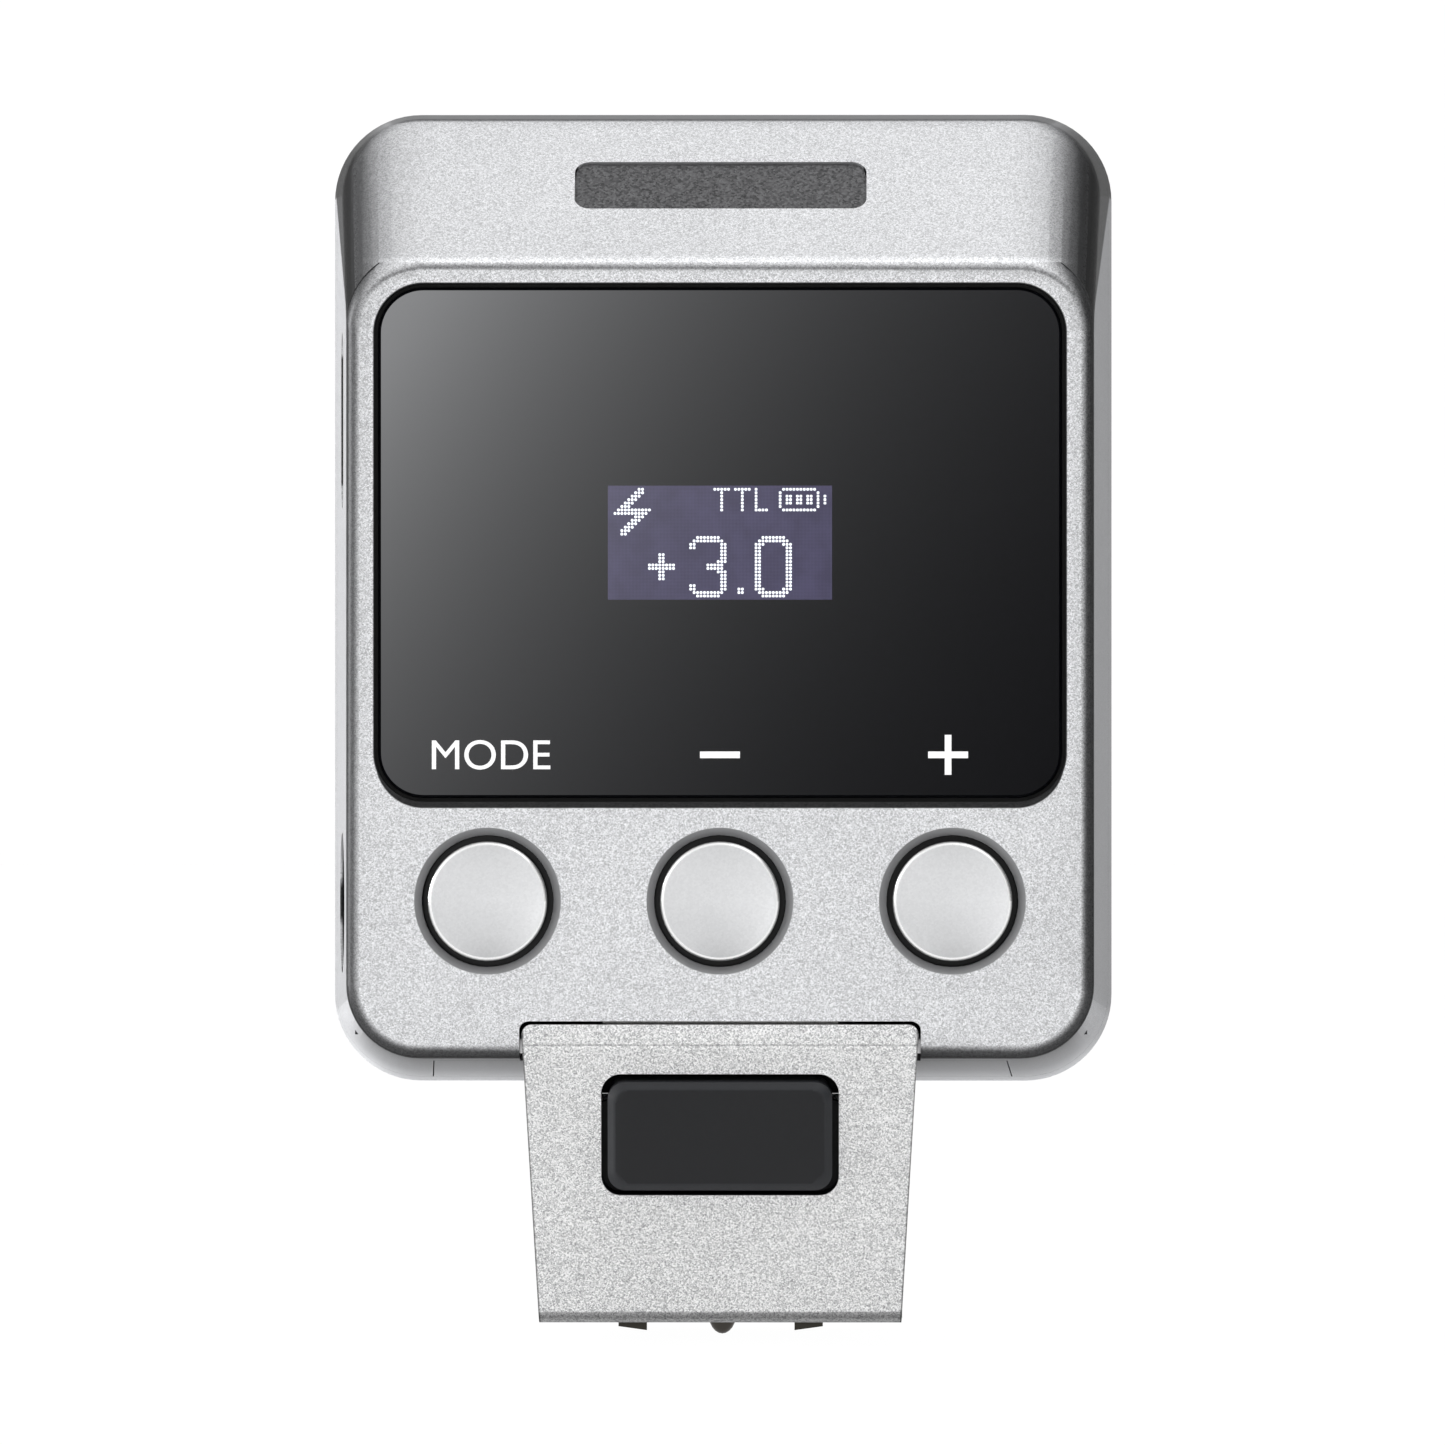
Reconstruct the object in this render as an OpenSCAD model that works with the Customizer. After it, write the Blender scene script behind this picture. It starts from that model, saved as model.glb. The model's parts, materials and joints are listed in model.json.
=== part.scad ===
/* [Head] */
// Width of the front cover at its parting line
cover_w = 38; // [36:0.5:44]
// Height of the face, from the bottom parting line to the crease
cover_h = 40; // [38:0.5:46]
// Height of the cover's bottom edge above the foot's underside
cover_z0 = 13.5; // [12:0.2:18]
// Depth of the head
head_d = 22; // [21:0.5:26]
// Rise of the slanted top panel above the crease
slant_h = 8.1; // [7:0.1:9.5]
// Angle of the slanted panel above the horizontal
slant_angle = 45; // [40:1:50]
// Corner radius of the cover's outline
corner_r = 3.75; // [2.8:0.05:4.5]
// Corner radius at the head's rear edge
rear_corner_r = 4.6; // [3.8:0.1:5.5]
// Edge fillet round the face
edge_r = 0.7; // [0.5:0.05:0.9]
// Edge fillet round the back
rear_r = 1.6; // [0.8:0.1:2]
// Wall thickness of the housings
wall = 1.5; // [1.2:0.1:1.8]
// Thickness of the front cover behind the face
cover_t = 1.7; // [1.6:0.1:2]
// Draft of the side walls, in degrees
side_draft = 4; // [2:0.5:5]
// Draft of the bottom wall, in degrees
base_draft = 5; // [3:0.5:6]
// Draft of the top wall, in degrees
top_draft = 3.9; // [1:0.2:5]

/* [Display] */
// Width of the glass
glass_w = 34.7; // [30:0.1:35.2]
// Corner radius of the glass
glass_r = 2.3; // [1:0.1:3]
// Thickness of the glass
glass_t = 0.9; // [0.7:0.05:1]
// Gap round the glass
glass_gap = 0.2; // [0.1:0.05:0.3]
// Distance from the crease down to the glass
glass_drop = 0.85; // [0.7:0.05:1.5]
// Bar of the face between the glass and the button holes
glass_bar = 1.52; // [1:0.02:2]
// Width of the display module
oled_w = 14.5; // [12:0.1:18]
// Height of the display module
oled_h = 11.6; // [9:0.1:14]
// Height of the display's centre above the glass's centre
oled_rise = 0; // [-3:0.1:3]
// Width of the bare badge plate
badge_w = 14.8; // [10:0.1:18]
// Height of the badge plate along the slant
badge_h = 3.4; // [2.4:0.1:4]

/* [Buttons] */
// Spacing of the three face buttons
button_pitch = 11.8; // [10.5:0.1:12]
// Height of the button row above the cover's bottom edge
button_rise = 8; // [7.8:0.05:8.5]
// Diameter of a button cap
button_d = 6.1; // [5:0.1:6.4]
// Radial gap round a button cap
button_gap = 0.3; // [0.2:0.05:0.35]
// Width of the chamfer round a button hole
button_chamfer = 0.38; // [0.2:0.02:0.5]
// Travel of the face buttons and the side button
button_travel = 0.5; // [0.2:0.05:0.5]
// Height of a button cap above the face
button_proud = 0.3; // [0.1:0.05:0.6]
// Depth of the dish in a button cap
dish_depth = 0.35; // [0.1:0.05:0.5]
// Diameter of the side button
side_d = 4.7; // [4:0.1:5.4]
// Diameter of the round recess for the side button
side_recess_d = 7.2; // [6.4:0.1:7.6]
// Depth of that recess
side_recess_t = 0.55; // [0.4:0.05:0.7]
// Depth of the side button's rim below the wall
side_sink = 0.5; // [0.4:0.05:0.6]
// Height of the dome on the side button
side_dome = 0.3; // [0.1:0.05:0.4]

/* [Hinge] */
// Depth of the hinge axis behind the face
axis_back = 1.1; // [1.1:0.02:1.2]
// Height of the flange's crease above the cover's bottom edge
crease_rise = 0.65; // [0.6:0.05:0.8]
// Height of the arm's flange above its crease
flange_h = 1.08; // [1.04:0.02:1.2]
// Height of the hinge axis above the crease
axis_rise = 0.1; // [0.05:0.01:0.12]
// Diameter of the hinge pin
pin_d = 1; // [0.8:0.05:1]
// Length of the hinge pin
pin_l = 27.5; // [24:0.5:28]
// Gap round the arm in its notch
notch_gap = 0.12; // [0.1:0.02:0.2]

/* [Arm] */
// Width of the arm at its crease
arm_top_w = 20.15; // [19:0.05:21]
// Width of the arm at the foot
arm_foot_w = 18.45; // [18:0.05:18.6]
// Depth of the arm, from the face plane to its rear cover
arm_d = 6.2; // [6:0.1:7]
// Lean of the arm's front plate, in degrees
lean = 7; // [4:0.5:9]
// Thickness of the arm's front plate
plate_t = 1.4; // [1.2:0.1:1.5]
// Width of the release button
release_w = 11.4; // [9:0.1:12]
// Height of the release button
release_h = 5.55; // [4.5:0.05:5.8]
// Gap round the release button
release_gap = 0.34; // [0.2:0.02:0.4]
// Height of the release button above the arm
release_proud = 0.9; // [0.4:0.05:1.1]
// Travel of the release button
release_travel = 0.8; // [0.5:0.05:0.8]
// Lift of the lock teeth at full travel
lock_lift = 0.8; // [0.6:0.05:0.8]

/* [Foot] */
// Width of the shoe foot
foot_w = 18.6; // [18.4:0.05:18.7]
// Length of the shoe foot in front of the arm
foot_l = 18; // [17:0.1:20]
// Thickness of the shoe foot
foot_t = 2; // [1.9:0.05:2]
// Width of a lock tooth
tooth_w = 1.45; // [1:0.05:1.8]
// Distance of a lock tooth from the middle
tooth_x = 4.5; // [3.5:0.1:4.8]
// Height by which the teeth and the centre contact stand out
contact_out = 0.5; // [0.3:0.02:0.6]
// Diameter of the centre contact
contact_d = 1.48; // [1.2:0.02:1.8]

/* [Hidden] */

// Smoothness of true round surfaces and of the blended shells
round_fn = 64;
shell_fn = 64;
// Slack that makes a cut pass right through
cut = 1;
// Gap between parts that are fitted together and do not move
fit = 0.06;
// Gap between faces that slide on each other
slip = 0.1;
// Thickness of a slice that a blended shell is drawn over
slice_t = 0.01;

// Planes of the head, measured from the middle of the foot's underside
face_y = -foot_l / 2 - arm_d;
part_y = face_y + edge_r;
rear_y = face_y + head_d;
rear_part_y = rear_y - 5.5;
back_in_y = face_y + cover_t;
crease_z = cover_z0 + cover_h;
// Upper edge of the front cover, inside the bend of the crease
cover_top_z = crease_z + edge_r / 2;
// Place of the badge as a share of the slanted panel's height
badge_rise = 0.56;
top_y = face_y + edge_r * (1 - sin(slant_angle))
    + (slant_h - edge_r * cos(slant_angle)) / tan(slant_angle);
button_z = cover_z0 + button_rise;
button_hole_r = button_d / 2 + button_gap;
// Lower end of the slices that shape only the bend of the top
bend_z0 = crease_z - 3;
glass_h = cover_h - glass_drop - button_rise - button_hole_r - button_chamfer - glass_bar;
glass_z = crease_z - glass_drop - glass_h / 2;
oled_z = glass_z + oled_rise;

// Board stack behind the cover
board_y = face_y + 5;
board_t = 1;
board_back_y = board_y + board_t;
board_hw = cover_w / 2 - 2.4;
board_z0 = cover_z0 + 2.8;
board_z1 = crease_z + 0.6;
board_grid = 1;
board_room = 4.6;
radio_x1 = 11;
radio_w = 15;
radio_h = 8.6;
radio_t = 0.8;
post_r = 1.2;
post_x = board_hw - post_r - 0.2;
post_z = [cover_z0 + 4.2, crease_z - 1.6];
screw_bore_r = 0.52;
screw_r = 0.5;
side_y = face_y + 7.6;
usb_z = crease_z - 7.4;
usb_w = 8.9;
usb_h = 3.2;
usb_l = 7.3;
side_z = button_z - 0.2;
side_flange_r = side_d / 2 + 0.6;
side_flange_in = wall + slip + side_flange_r * tan(side_draft);
side_flange_t = 0.45;
side_stem_r = 1.1;
side_stem_l = 0.7;

// Hinge and arm
arm_crease_z = cover_z0 + crease_rise;
flange_top_z = arm_crease_z + flange_h;
axis_y = face_y + axis_back;
axis_z = arm_crease_z + axis_rise;
barrel_r = norm([axis_back, flange_top_z - axis_z]);
pin_r = pin_d / 2;
pin_bore_r = pin_r + 0.02;
notch_hw = arm_top_w / 2 + notch_gap;
knuckle_w = 4;
insert_side = 4.5;
insert_draft = 2;
insert_y0 = axis_y + barrel_r + notch_gap;
insert_y1 = rear_part_y;
upright_gap = 0.5;
spring_hw = 6;
bridge_y = face_y + 8.5;
arm_rear_y = face_y + arm_d;
arm_top_z = cover_z0 - 0.85;
arm_side_wall = 1.3;
arm_corner_r = 0.5;
arm_cavity_z = arm_top_z - 1;
arm_cover_t = 0.8;
arm_taper = (arm_top_w - arm_foot_w) / 2 / arm_crease_z;
arm_front_bottom_y = face_y + arm_crease_z * tan(lean);
foot_start_y = arm_front_bottom_y + plate_t;
release_v = -(arm_crease_z - (cover_z0 - 3.88)) / cos(lean);
release_r = 0.9;
flange_lip = 0.45;
release_flange_t = 0.6;
slider_y = face_y + 4.4;
slider_t = 0.7;
slider_z0 = 5.2;
slider_z1 = cover_z0 - 4.4;
slider_hw = 5.6;
wing_z = 1.4;
spring_top_z = arm_cavity_z - 0.05;
wing_hw = min(arm_in(slider_z1 - wing_z), arm_in(arm_cavity_z)) - slip;
spring_x = wing_hw - 0.9;
wedge_x = 3;
wedge_w = 2;

// Display module and button mat
oled_y = face_y + glass_t + 0.1;
oled_t = 1.2;
mat_y = face_y + 3.4;

// Rear of the head: screws, lamp window, battery and its bracket
rear_screw_x = half_w(rear_part_y) - 4.4;
rear_screw_in = 4.6;
rear_screw_z = [low_z(rear_part_y) + rear_screw_in, top_z(rear_part_y) - rear_screw_in];
boss_r = 1.8;
lip_l = 1.2;
af_z = crease_z + 1;
af_w = 16;
af_h = 7;
bracket_y = board_back_y + board_room;
bracket_t = 1;
rail_in = 6;
battery_y0 = bracket_y + bracket_t + 0.1;
battery_y1 = rear_y - wall - 0.75;
battery_z0 = board_z0 + 3.6;
battery_z1 = af_z - af_h / 2 - 0.8;
battery_hw = half_w(bracket_y) - wall - 3.6;

// Screws of the hinge cover, the arm and the foot
cover_screw_in = 3.2;
cover_screw_x = arm_top_w / 2 - cover_screw_in;
foot_boss_r = 1;
foot_boss_h = 3;
foot_screw_x = max(arm_in(foot_t), arm_in(foot_t + foot_boss_h)) - foot_boss_r + 0.3;
foot_screw_y = arm_rear_y - arm_cover_t - 1.1;
foot_screw_r = 0.6;
foot_head_r = 0.95;
foot_recess_r = 1.02;
arm_screw_z = 3.6;

// Wedges of the release button
release_wedge_slope = (lock_lift - release_travel * sin(lean)) / (release_travel * cos(lean));
wedge_tip_y = slider_y + 0.15;
wedge_tip_z = slider_z0 + 1.5;

// Contact carrier in the foot
carrier_hw = 6;
carrier_y0 = -6.4;
carrier_y1 = 6.8;
contact_bore_r = contact_d / 2 + 0.04;
contact_pocket_r = contact_d / 2 + 0.5;

// Half width of the head at a depth
function half_w(y) = cover_w / 2 + (y - part_y) * tan(side_draft);
// Lowest height of the head at a depth
function low_z(y) = cover_z0 - (y - part_y) * tan(base_draft);
// Height of the slanted panel at a depth
function slant_z(y) = crease_z + edge_r * cos(slant_angle)
    + (y - face_y - edge_r * (1 - sin(slant_angle))) * tan(slant_angle);
// Height of the flat top at a depth
function top_z(y) = crease_z + slant_h + (y - top_y) * tan(top_draft);
function high_z(y) = min(slant_z(y), top_z(y));
// Corner radius at a depth
function corner_at(y) = corner_r + (rear_corner_r - corner_r) * (y - part_y) / (rear_y - part_y);
// Points of an arc in a plane
function arc(cx, cy, r, a0, a1, n) =
    [for (i = [0:n]) let (a = a0 + (a1 - a0) * i / n) [cx + r * cos(a), cy + r * sin(a)]];
// Half width of the bottom insert at a depth
function insert_hw(y) = arm_top_w / 2 + insert_side + (y - insert_y0) * tan(insert_draft);
// Half width of the arm at a height
function arm_hw(z) = arm_top_w / 2 - max(arm_crease_z - z, 0) * arm_taper;
// Half width inside the arm at a height
function arm_in(z) = arm_hw(z) - arm_side_wall;
// Depth of the arm's front surface at a height
function arm_front_y(z) = face_y + max(arm_crease_z - z, 0) * tan(lean);

// Rounded rectangle, centred
module rounded(w, h, r) {
    square([w - 2 * r, h], center = true);
    square([w, h - 2 * r], center = true);
    for (x = [-1, 1], y = [-1, 1])
        translate([x * (w / 2 - r), y * (h / 2 - r)]) circle(r);
}
// Draws a front-view shape from one depth to another
module front_view(y0, y1) {
    translate([0, y1, 0]) rotate([90, 0, 0]) linear_extrude(y1 - y0) children();
}
// Draws a side-view shape from one width to another
module side_view(x0, x1) {
    translate([x0, 0, 0]) rotate([90, 0, 90]) linear_extrude(x1 - x0) children();
}
// Cylinder along the depth
module depth_cyl(x, z, y0, y1, r) {
    translate([x, y1, z]) rotate([90, 0, 0]) cylinder(h = y1 - y0, r = r, $fn = round_fn);
}
// Cylinder across the width
module cross_cyl(y, z, x0, x1, r) {
    translate([x0, y, z]) rotate([0, 90, 0]) cylinder(h = x1 - x0, r = r, $fn = round_fn);
}
// Box between two corners
module block(a, b) {
    translate(a) cube(b - a);
}
// Frame on the slanted panel: its +Z points out of the panel
module on_slant(rise) {
    z = crease_z + rise;
    y = face_y + edge_r * (1 - sin(slant_angle)) + (rise - edge_r * cos(slant_angle)) / tan(slant_angle);
    translate([0, y, z]) rotate([slant_angle, 0, 0]) children();
}
// Frame on the arm's front plate: its +Y runs up the plate and its +Z points out
module on_arm() {
    translate([0, face_y, arm_crease_z]) rotate([90 + lean, 0, 0]) children();
}
// Screw with a rounded, slotted head; it points along +Z and its head starts below z = 0
module screw(head_r, head_h, shank_r, shank_l) {
    difference() {
        union() {
            cylinder(h = head_h, r1 = head_r * 0.85, r2 = head_r, $fn = round_fn);
            cylinder(h = head_h + shank_l, r = shank_r, $fn = round_fn);
        }
        for (a = [0, 90])
            rotate([0, 0, a])
                translate([-head_r * 0.6, -head_r * 0.12, -cut])
                    cube([head_r * 1.2, head_r * 0.24, cut + head_h * 0.55]);
    }
}
// Coil spring along +Z, drawn as one swept wire
module coil(mean_r, wire_r, length, turns) {
    sides = 6;
    steps = 14;
    rings = turns * steps;
    rise = (length - 2 * wire_r) / rings;
    points = [for (i = [0:rings], j = [0:sides - 1])
        let (a = i * 360 / steps, b = j * 360 / sides, r = mean_r + wire_r * cos(b))
        [r * cos(a), r * sin(a), wire_r + i * rise + wire_r * sin(b)]];
    quads = [for (i = [0:rings - 1], j = [0:sides - 1])
        let (k = (j + 1) % sides)
        [i * sides + j, i * sides + k, (i + 1) * sides + k, (i + 1) * sides + j]];
    first = [for (j = [sides - 1:-1:0]) j];
    last = [for (j = [0:sides - 1]) rings * sides + j];
    polyhedron(points, concat(quads, [first, last]));
}

// Outline of the head at a depth, drawn as a thin slice
module head_slice(y, half, z0, z1, r) {
    front_view(y, y + slice_t)
        translate([0, (z0 + z1) / 2]) rounded(2 * half, z1 - z0, r, $fn = shell_fn);
}
// Outer form of the head: filleted face, slanted top, drafted walls and rounded back
module head_form() {
    steps = [0, 22.5, 45, 67.5, 90];
    hull() {
        for (a = steps) {
            y = face_y + edge_r * (1 - cos(a));
            inset = edge_r * (1 - sin(a));
            turn = min(a, 90 - slant_angle);
            top = a <= 90 - slant_angle ? crease_z + edge_r * sin(turn) : slant_z(y);
            head_slice(y, cover_w / 2 - inset, cover_z0 + inset, top, corner_r - inset);
        }
        // The blend between the slanted panel and the top
        for (d = [-0.5, 0, 0.5]) {
            y = top_y + d;
            head_slice(y, half_w(y), bend_z0, high_z(y) - (d == 0 ? 0.16 : 0), corner_at(y));
        }
        for (a = steps) {
            y = rear_y - slice_t - rear_r * (1 - sin(a));
            inset = rear_r * (1 - cos(a));
            head_slice(y, half_w(y) - inset, low_z(y) + inset, top_z(y) - inset, corner_at(y) - inset);
        }
    }
}
// Inner form of the head: inset from the walls, from the front surface and from the back
module head_core(side, front, back) {
    drop = front / cos(slant_angle);
    bend_y = top_y + (drop - side) / (tan(slant_angle) - tan(top_draft));
    hull()
        for (y = [face_y + front, bend_y, rear_y - back])
            head_slice(y, half_w(y) - side, y == bend_y ? bend_z0 : low_z(y) + side,
                min(slant_z(y) - drop, top_z(y) - side), max(corner_at(y) - side, 0.6));
}
// Space that the arm's barrel and neck sweep through
module arm_notch() {
    steps = [for (i = [0:6]) 15 * i];
    side = [for (a = steps)
        let (h = flange_top_z - axis_z - arm_corner_r * (1 - sin(a)))
        [norm([axis_back, h]) + notch_gap, notch_hw - arm_corner_r * (1 - cos(a))]];
    translate([0, axis_y, axis_z]) rotate([0, 90, 0])
        rotate_extrude($fn = round_fn) polygon(concat(
            [[0, -notch_hw]],
            [for (p = side) [p[0], -p[1]]],
            [for (i = [len(side) - 1:-1:0]) side[i]],
            [[0, notch_hw]]));
    block([-notch_hw, face_y - cut, 0], [notch_hw, axis_y + barrel_r + notch_gap, axis_z]);
}
// Opening in the bottom wall that the hinge cover fills
module insert_opening(gap) {
    y0 = insert_y0 - gap;
    y1 = insert_y1 + gap;
    linear_extrude(cover_z0 + wall) polygon([
        [-insert_hw(y0) - gap, y0], [insert_hw(y0) + gap, y0],
        [insert_hw(y1) + gap, y1], [-insert_hw(y1) - gap, y1]]);
}

module front_cover() {
    window_w = oled_w + 0.9;
    window_h = oled_h + 0.7;
    color("silver") difference() {
        union() {
            intersection() {
                head_form();
                block([-cover_w, face_y - cut, 0], [cover_w, part_y, cover_top_z]);
            }
            intersection() {
                head_core(wall + fit, edge_r / 2, 4);
                block([-cover_w, face_y, 0], [cover_w, back_in_y, crease_z - fit]);
            }
            for (x = [-1, 1], z = post_z)
                depth_cyl(x * post_x, z, back_in_y - 0.2, board_y - 0.02, post_r);
        }
        front_view(face_y - cut, face_y + glass_t + 0.2)
            translate([0, glass_z]) rounded(glass_w + 2 * glass_gap, glass_h + 2 * glass_gap,
                glass_r + glass_gap, $fn = round_fn);
        front_view(face_y, back_in_y + cut)
            translate([0, oled_z]) rounded(window_w, window_h, 0.5, $fn = shell_fn);
        for (x = [-1:1]) {
            depth_cyl(x * button_pitch, button_z, face_y - cut, back_in_y + cut, button_hole_r);
            translate([x * button_pitch, face_y, button_z]) rotate([-90, 0, 0])
                cylinder(h = button_chamfer, r1 = button_hole_r + button_chamfer, r2 = button_hole_r,
                    $fn = round_fn);
        }
        arm_notch();
        block([-notch_hw - knuckle_w - slip, part_y, 0],
            [notch_hw + knuckle_w + slip, board_y - 1, axis_z + 1.5]);
        cross_cyl(axis_y, axis_z, -pin_l / 2 - 0.2, pin_l / 2 + 0.2, pin_bore_r + 0.03);
        for (x = [-1, 1], z = post_z) depth_cyl(x * post_x, z, back_in_y - 0.1, board_y, screw_bore_r);
    }
}

module main_housing() {
    color("gainsboro") difference() {
        union() {
            difference() {
                intersection() {
                    head_form();
                    block([-cover_w, face_y, 0], [cover_w, rear_part_y, crease_z + 2 * slant_h]);
                }
                head_core(wall, wall, -3);
                // Opening that the front cover fills, up to the crease
                intersection() {
                    head_core(wall, -3, -3);
                    block([-cover_w, face_y - cut, 0], [cover_w, rear_part_y + cut, crease_z]);
                }
                block([-cover_w, face_y - cut, 0], [cover_w, part_y + slip, cover_top_z + slip]);
                insert_opening(fit);
            }
            for (x = [-1, 1]) {
                // Knuckle that holds one end of the hinge pin
                block([x > 0 ? notch_hw - 1 : -notch_hw - knuckle_w, part_y + slip, axis_z - 0.3],
                    [x > 0 ? notch_hw + knuckle_w : -notch_hw + 1, insert_y0 - fit, axis_z + 1.3]);
                block([x > 0 ? notch_hw - 1 : -notch_hw - knuckle_w, part_y + slip, low_z(part_y) + 0.1],
                    [x > 0 ? notch_hw + knuckle_w : -notch_hw + 1, axis_y + 0.9, axis_z]);
                // Corner bosses for the rear screws
                for (z = rear_screw_z) rear_boss(x, z);
                // Rails that carry the battery bracket
                block([x > 0 ? half_w(bracket_y) - wall - 1.2 : -half_w(bracket_y) + wall - 0.2,
                        bracket_y + bracket_t + 0.05, board_z0 + rail_in],
                    [x > 0 ? half_w(bracket_y) - wall + 0.2 : -half_w(bracket_y) + wall + 1.2,
                        bracket_y + bracket_t + 1.2, board_z1 - rail_in]);
            }
            // Bridge over the hinge cover, for its screws
            block([-half_w(bridge_y) + wall / 2, bridge_y - 1.6, low_z(bridge_y - 1.6) + wall + 0.1],
                [half_w(bridge_y) - wall / 2, bridge_y + 1.6, low_z(bridge_y) + wall + 1.9]);
        }
        arm_notch();
        block([-notch_hw, part_y, 0], [notch_hw, insert_y0, axis_z + 2]);
        // Room for the glass and its gasket
        front_view(part_y, face_y + glass_t + 0.3)
            translate([0, glass_z]) rounded(glass_w + 2 * glass_gap + fit, glass_h + 2 * glass_gap + fit,
                glass_r + glass_gap, $fn = round_fn);
        cross_cyl(axis_y, axis_z, -pin_l / 2 - 0.05, pin_l / 2 + 0.05, pin_bore_r);
        for (x = [-1, 1], z = rear_screw_z)
            depth_cyl(x * rear_screw_x, z, rear_part_y - 4.5, rear_part_y + cut, 0.82);
        for (x = [-1, 1])
            translate([x * cover_screw_x, bridge_y, low_z(bridge_y)])
                cylinder(h = wall + 1.7, r = 0.72, $fn = round_fn);
        // Seat of the badge plate
        on_slant(slant_h * badge_rise) translate([0, 0, -0.45]) linear_extrude(cut + 0.45)
            rounded(badge_w + 2 * fit, badge_h + 2 * fit, 0.8, $fn = round_fn);
        // Charging socket
        side_view(-cover_w, -half_w(side_y) + wall + cut)
            translate([side_y, usb_z]) rotate(90)
                rounded(usb_w + 2 * fit, usb_h + 2 * fit, usb_h / 2 + fit - 0.01, $fn = round_fn);
        // Side button: a shallow recess and its bore
        cross_cyl(side_y, side_z, -cover_w, -half_w(side_y) + side_recess_t, side_recess_d / 2);
        cross_cyl(side_y, side_z, -cover_w, -half_w(side_y) + wall + cut, side_d / 2 + 0.2);
    }
}
// One corner boss, tied to the side wall by a web
module rear_boss(x, z) {
    y0 = rear_part_y - 5;
    y1 = rear_part_y - lip_l - slip;
    wall_x = half_w(y0) - wall / 2;
    depth_cyl(x * rear_screw_x, z, y0, rear_part_y - 0.05, boss_r);
    block([x > 0 ? rear_screw_x : -wall_x, y0, z - 0.6], [x > 0 ? wall_x : -rear_screw_x, y1, z + 0.6]);
}

module rear_cover() {
    lip_t = 0.8;
    color("silver") difference() {
        union() {
            difference() {
                union() {
                    intersection() {
                        head_form();
                        block([-cover_w, rear_part_y + fit, 0],
                            [cover_w, rear_y + cut, crease_z + 2 * slant_h]);
                    }
                    // Lip that enters the main housing
                    intersection() {
                        head_core(wall + slip, 0, 1);
                        block([-cover_w, rear_part_y - lip_l, 0],
                            [cover_w, rear_part_y + cut, crease_z + 2 * slant_h]);
                    }
                }
                head_core(wall + slip + lip_t, 0, wall);
                intersection() {
                    head_core(wall, 0, wall);
                    block([-cover_w, rear_part_y + lip_t, 0],
                        [cover_w, rear_y + cut, crease_z + 2 * slant_h]);
                }
            }
            // Posts round the screws
            for (x = [-1, 1], z = rear_screw_z)
                depth_cyl(x * rear_screw_x, z, rear_part_y + 0.05, rear_y - wall + 0.1, boss_r);
        }
        for (x = [-1, 1], z = rear_screw_z) {
            depth_cyl(x * rear_screw_x, z, rear_part_y - cut, rear_y + cut, 0.95);
            depth_cyl(x * rear_screw_x, z, rear_y - 0.9, rear_y + cut, 1.85);
        }
        // Window opening and the shallow seat round it
        front_view(rear_y - wall - cut, rear_y + cut)
            translate([0, af_z]) rounded(af_w - 1.6, af_h - 1.6, 0.6, $fn = shell_fn);
        front_view(rear_y - 1, rear_y + cut)
            translate([0, af_z]) rounded(af_w + 2 * fit, af_h + 2 * fit, 1.5, $fn = round_fn);
    }
}

module rear_screws() {
    color("dimgray")
        for (x = [-1, 1], z = rear_screw_z)
            translate([x * rear_screw_x, rear_y - 0.15, z]) rotate([90, 0, 0])
                screw(1.7, 0.7, 0.8, 8);
}

module badge_plate() {
    color("dimgray") on_slant(slant_h * badge_rise) translate([0, 0, -0.4]) linear_extrude(0.25)
        rounded(badge_w, badge_h, 0.75, $fn = round_fn);
}

module display_glass() {
    bevel = 0.14;
    front = face_y + 0.05;
    color([0.03, 0.03, 0.035]) hull() {
        front_view(front + bevel, front + glass_t)
            translate([0, glass_z]) rounded(glass_w, glass_h, glass_r, $fn = shell_fn);
        front_view(front, front + slice_t) translate([0, glass_z])
            rounded(glass_w - 2 * bevel, glass_h - 2 * bevel, glass_r - bevel, $fn = shell_fn);
    }
}

module glass_gasket() {
    play = 0.02;
    rim = glass_gap - play;
    band = 2;
    color("black") difference() {
        front_view(face_y + 0.35, face_y + glass_t + 0.18)
            translate([0, glass_z]) rounded(glass_w + 2 * rim, glass_h + 2 * rim, glass_r + rim,
                $fn = round_fn);
        front_view(face_y, face_y + 0.06 + glass_t)
            translate([0, glass_z]) rounded(glass_w + 2 * play, glass_h + 2 * play, glass_r + play,
                $fn = round_fn);
        front_view(face_y, face_y + glass_t + cut)
            translate([0, glass_z])
                rounded(glass_w - 2 * band, glass_h - 2 * band, glass_r, $fn = round_fn);
    }
}

module oled_panel() {
    color([0.1, 0.1, 0.2]) union() {
        block([-oled_w / 2, oled_y, oled_z - oled_h / 2],
            [oled_w / 2, oled_y + 0.7, oled_z + oled_h / 2]);
        block([-oled_w / 2, oled_y + 0.7, oled_z - oled_h / 2 + 2],
            [oled_w / 2, oled_y + oled_t, oled_z + oled_h / 2]);
    }
}

module oled_holder() {
    rim = 1;
    y0 = oled_y + oled_t;
    color("black") difference() {
        block([-oled_w / 2 - rim, back_in_y + 0.1, oled_z - oled_h / 2 - rim],
            [oled_w / 2 + rim, board_y, oled_z + oled_h / 2 + rim]);
        block([-oled_w / 2 - fit, face_y, oled_z - oled_h / 2 - fit],
            [oled_w / 2 + fit, y0, oled_z + oled_h / 2 + fit]);
        block([-oled_w / 2 + rim, face_y, oled_z - oled_h / 2 + rim],
            [oled_w / 2 - rim, board_y + cut, oled_z + oled_h / 2 - rim]);
    }
}

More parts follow.
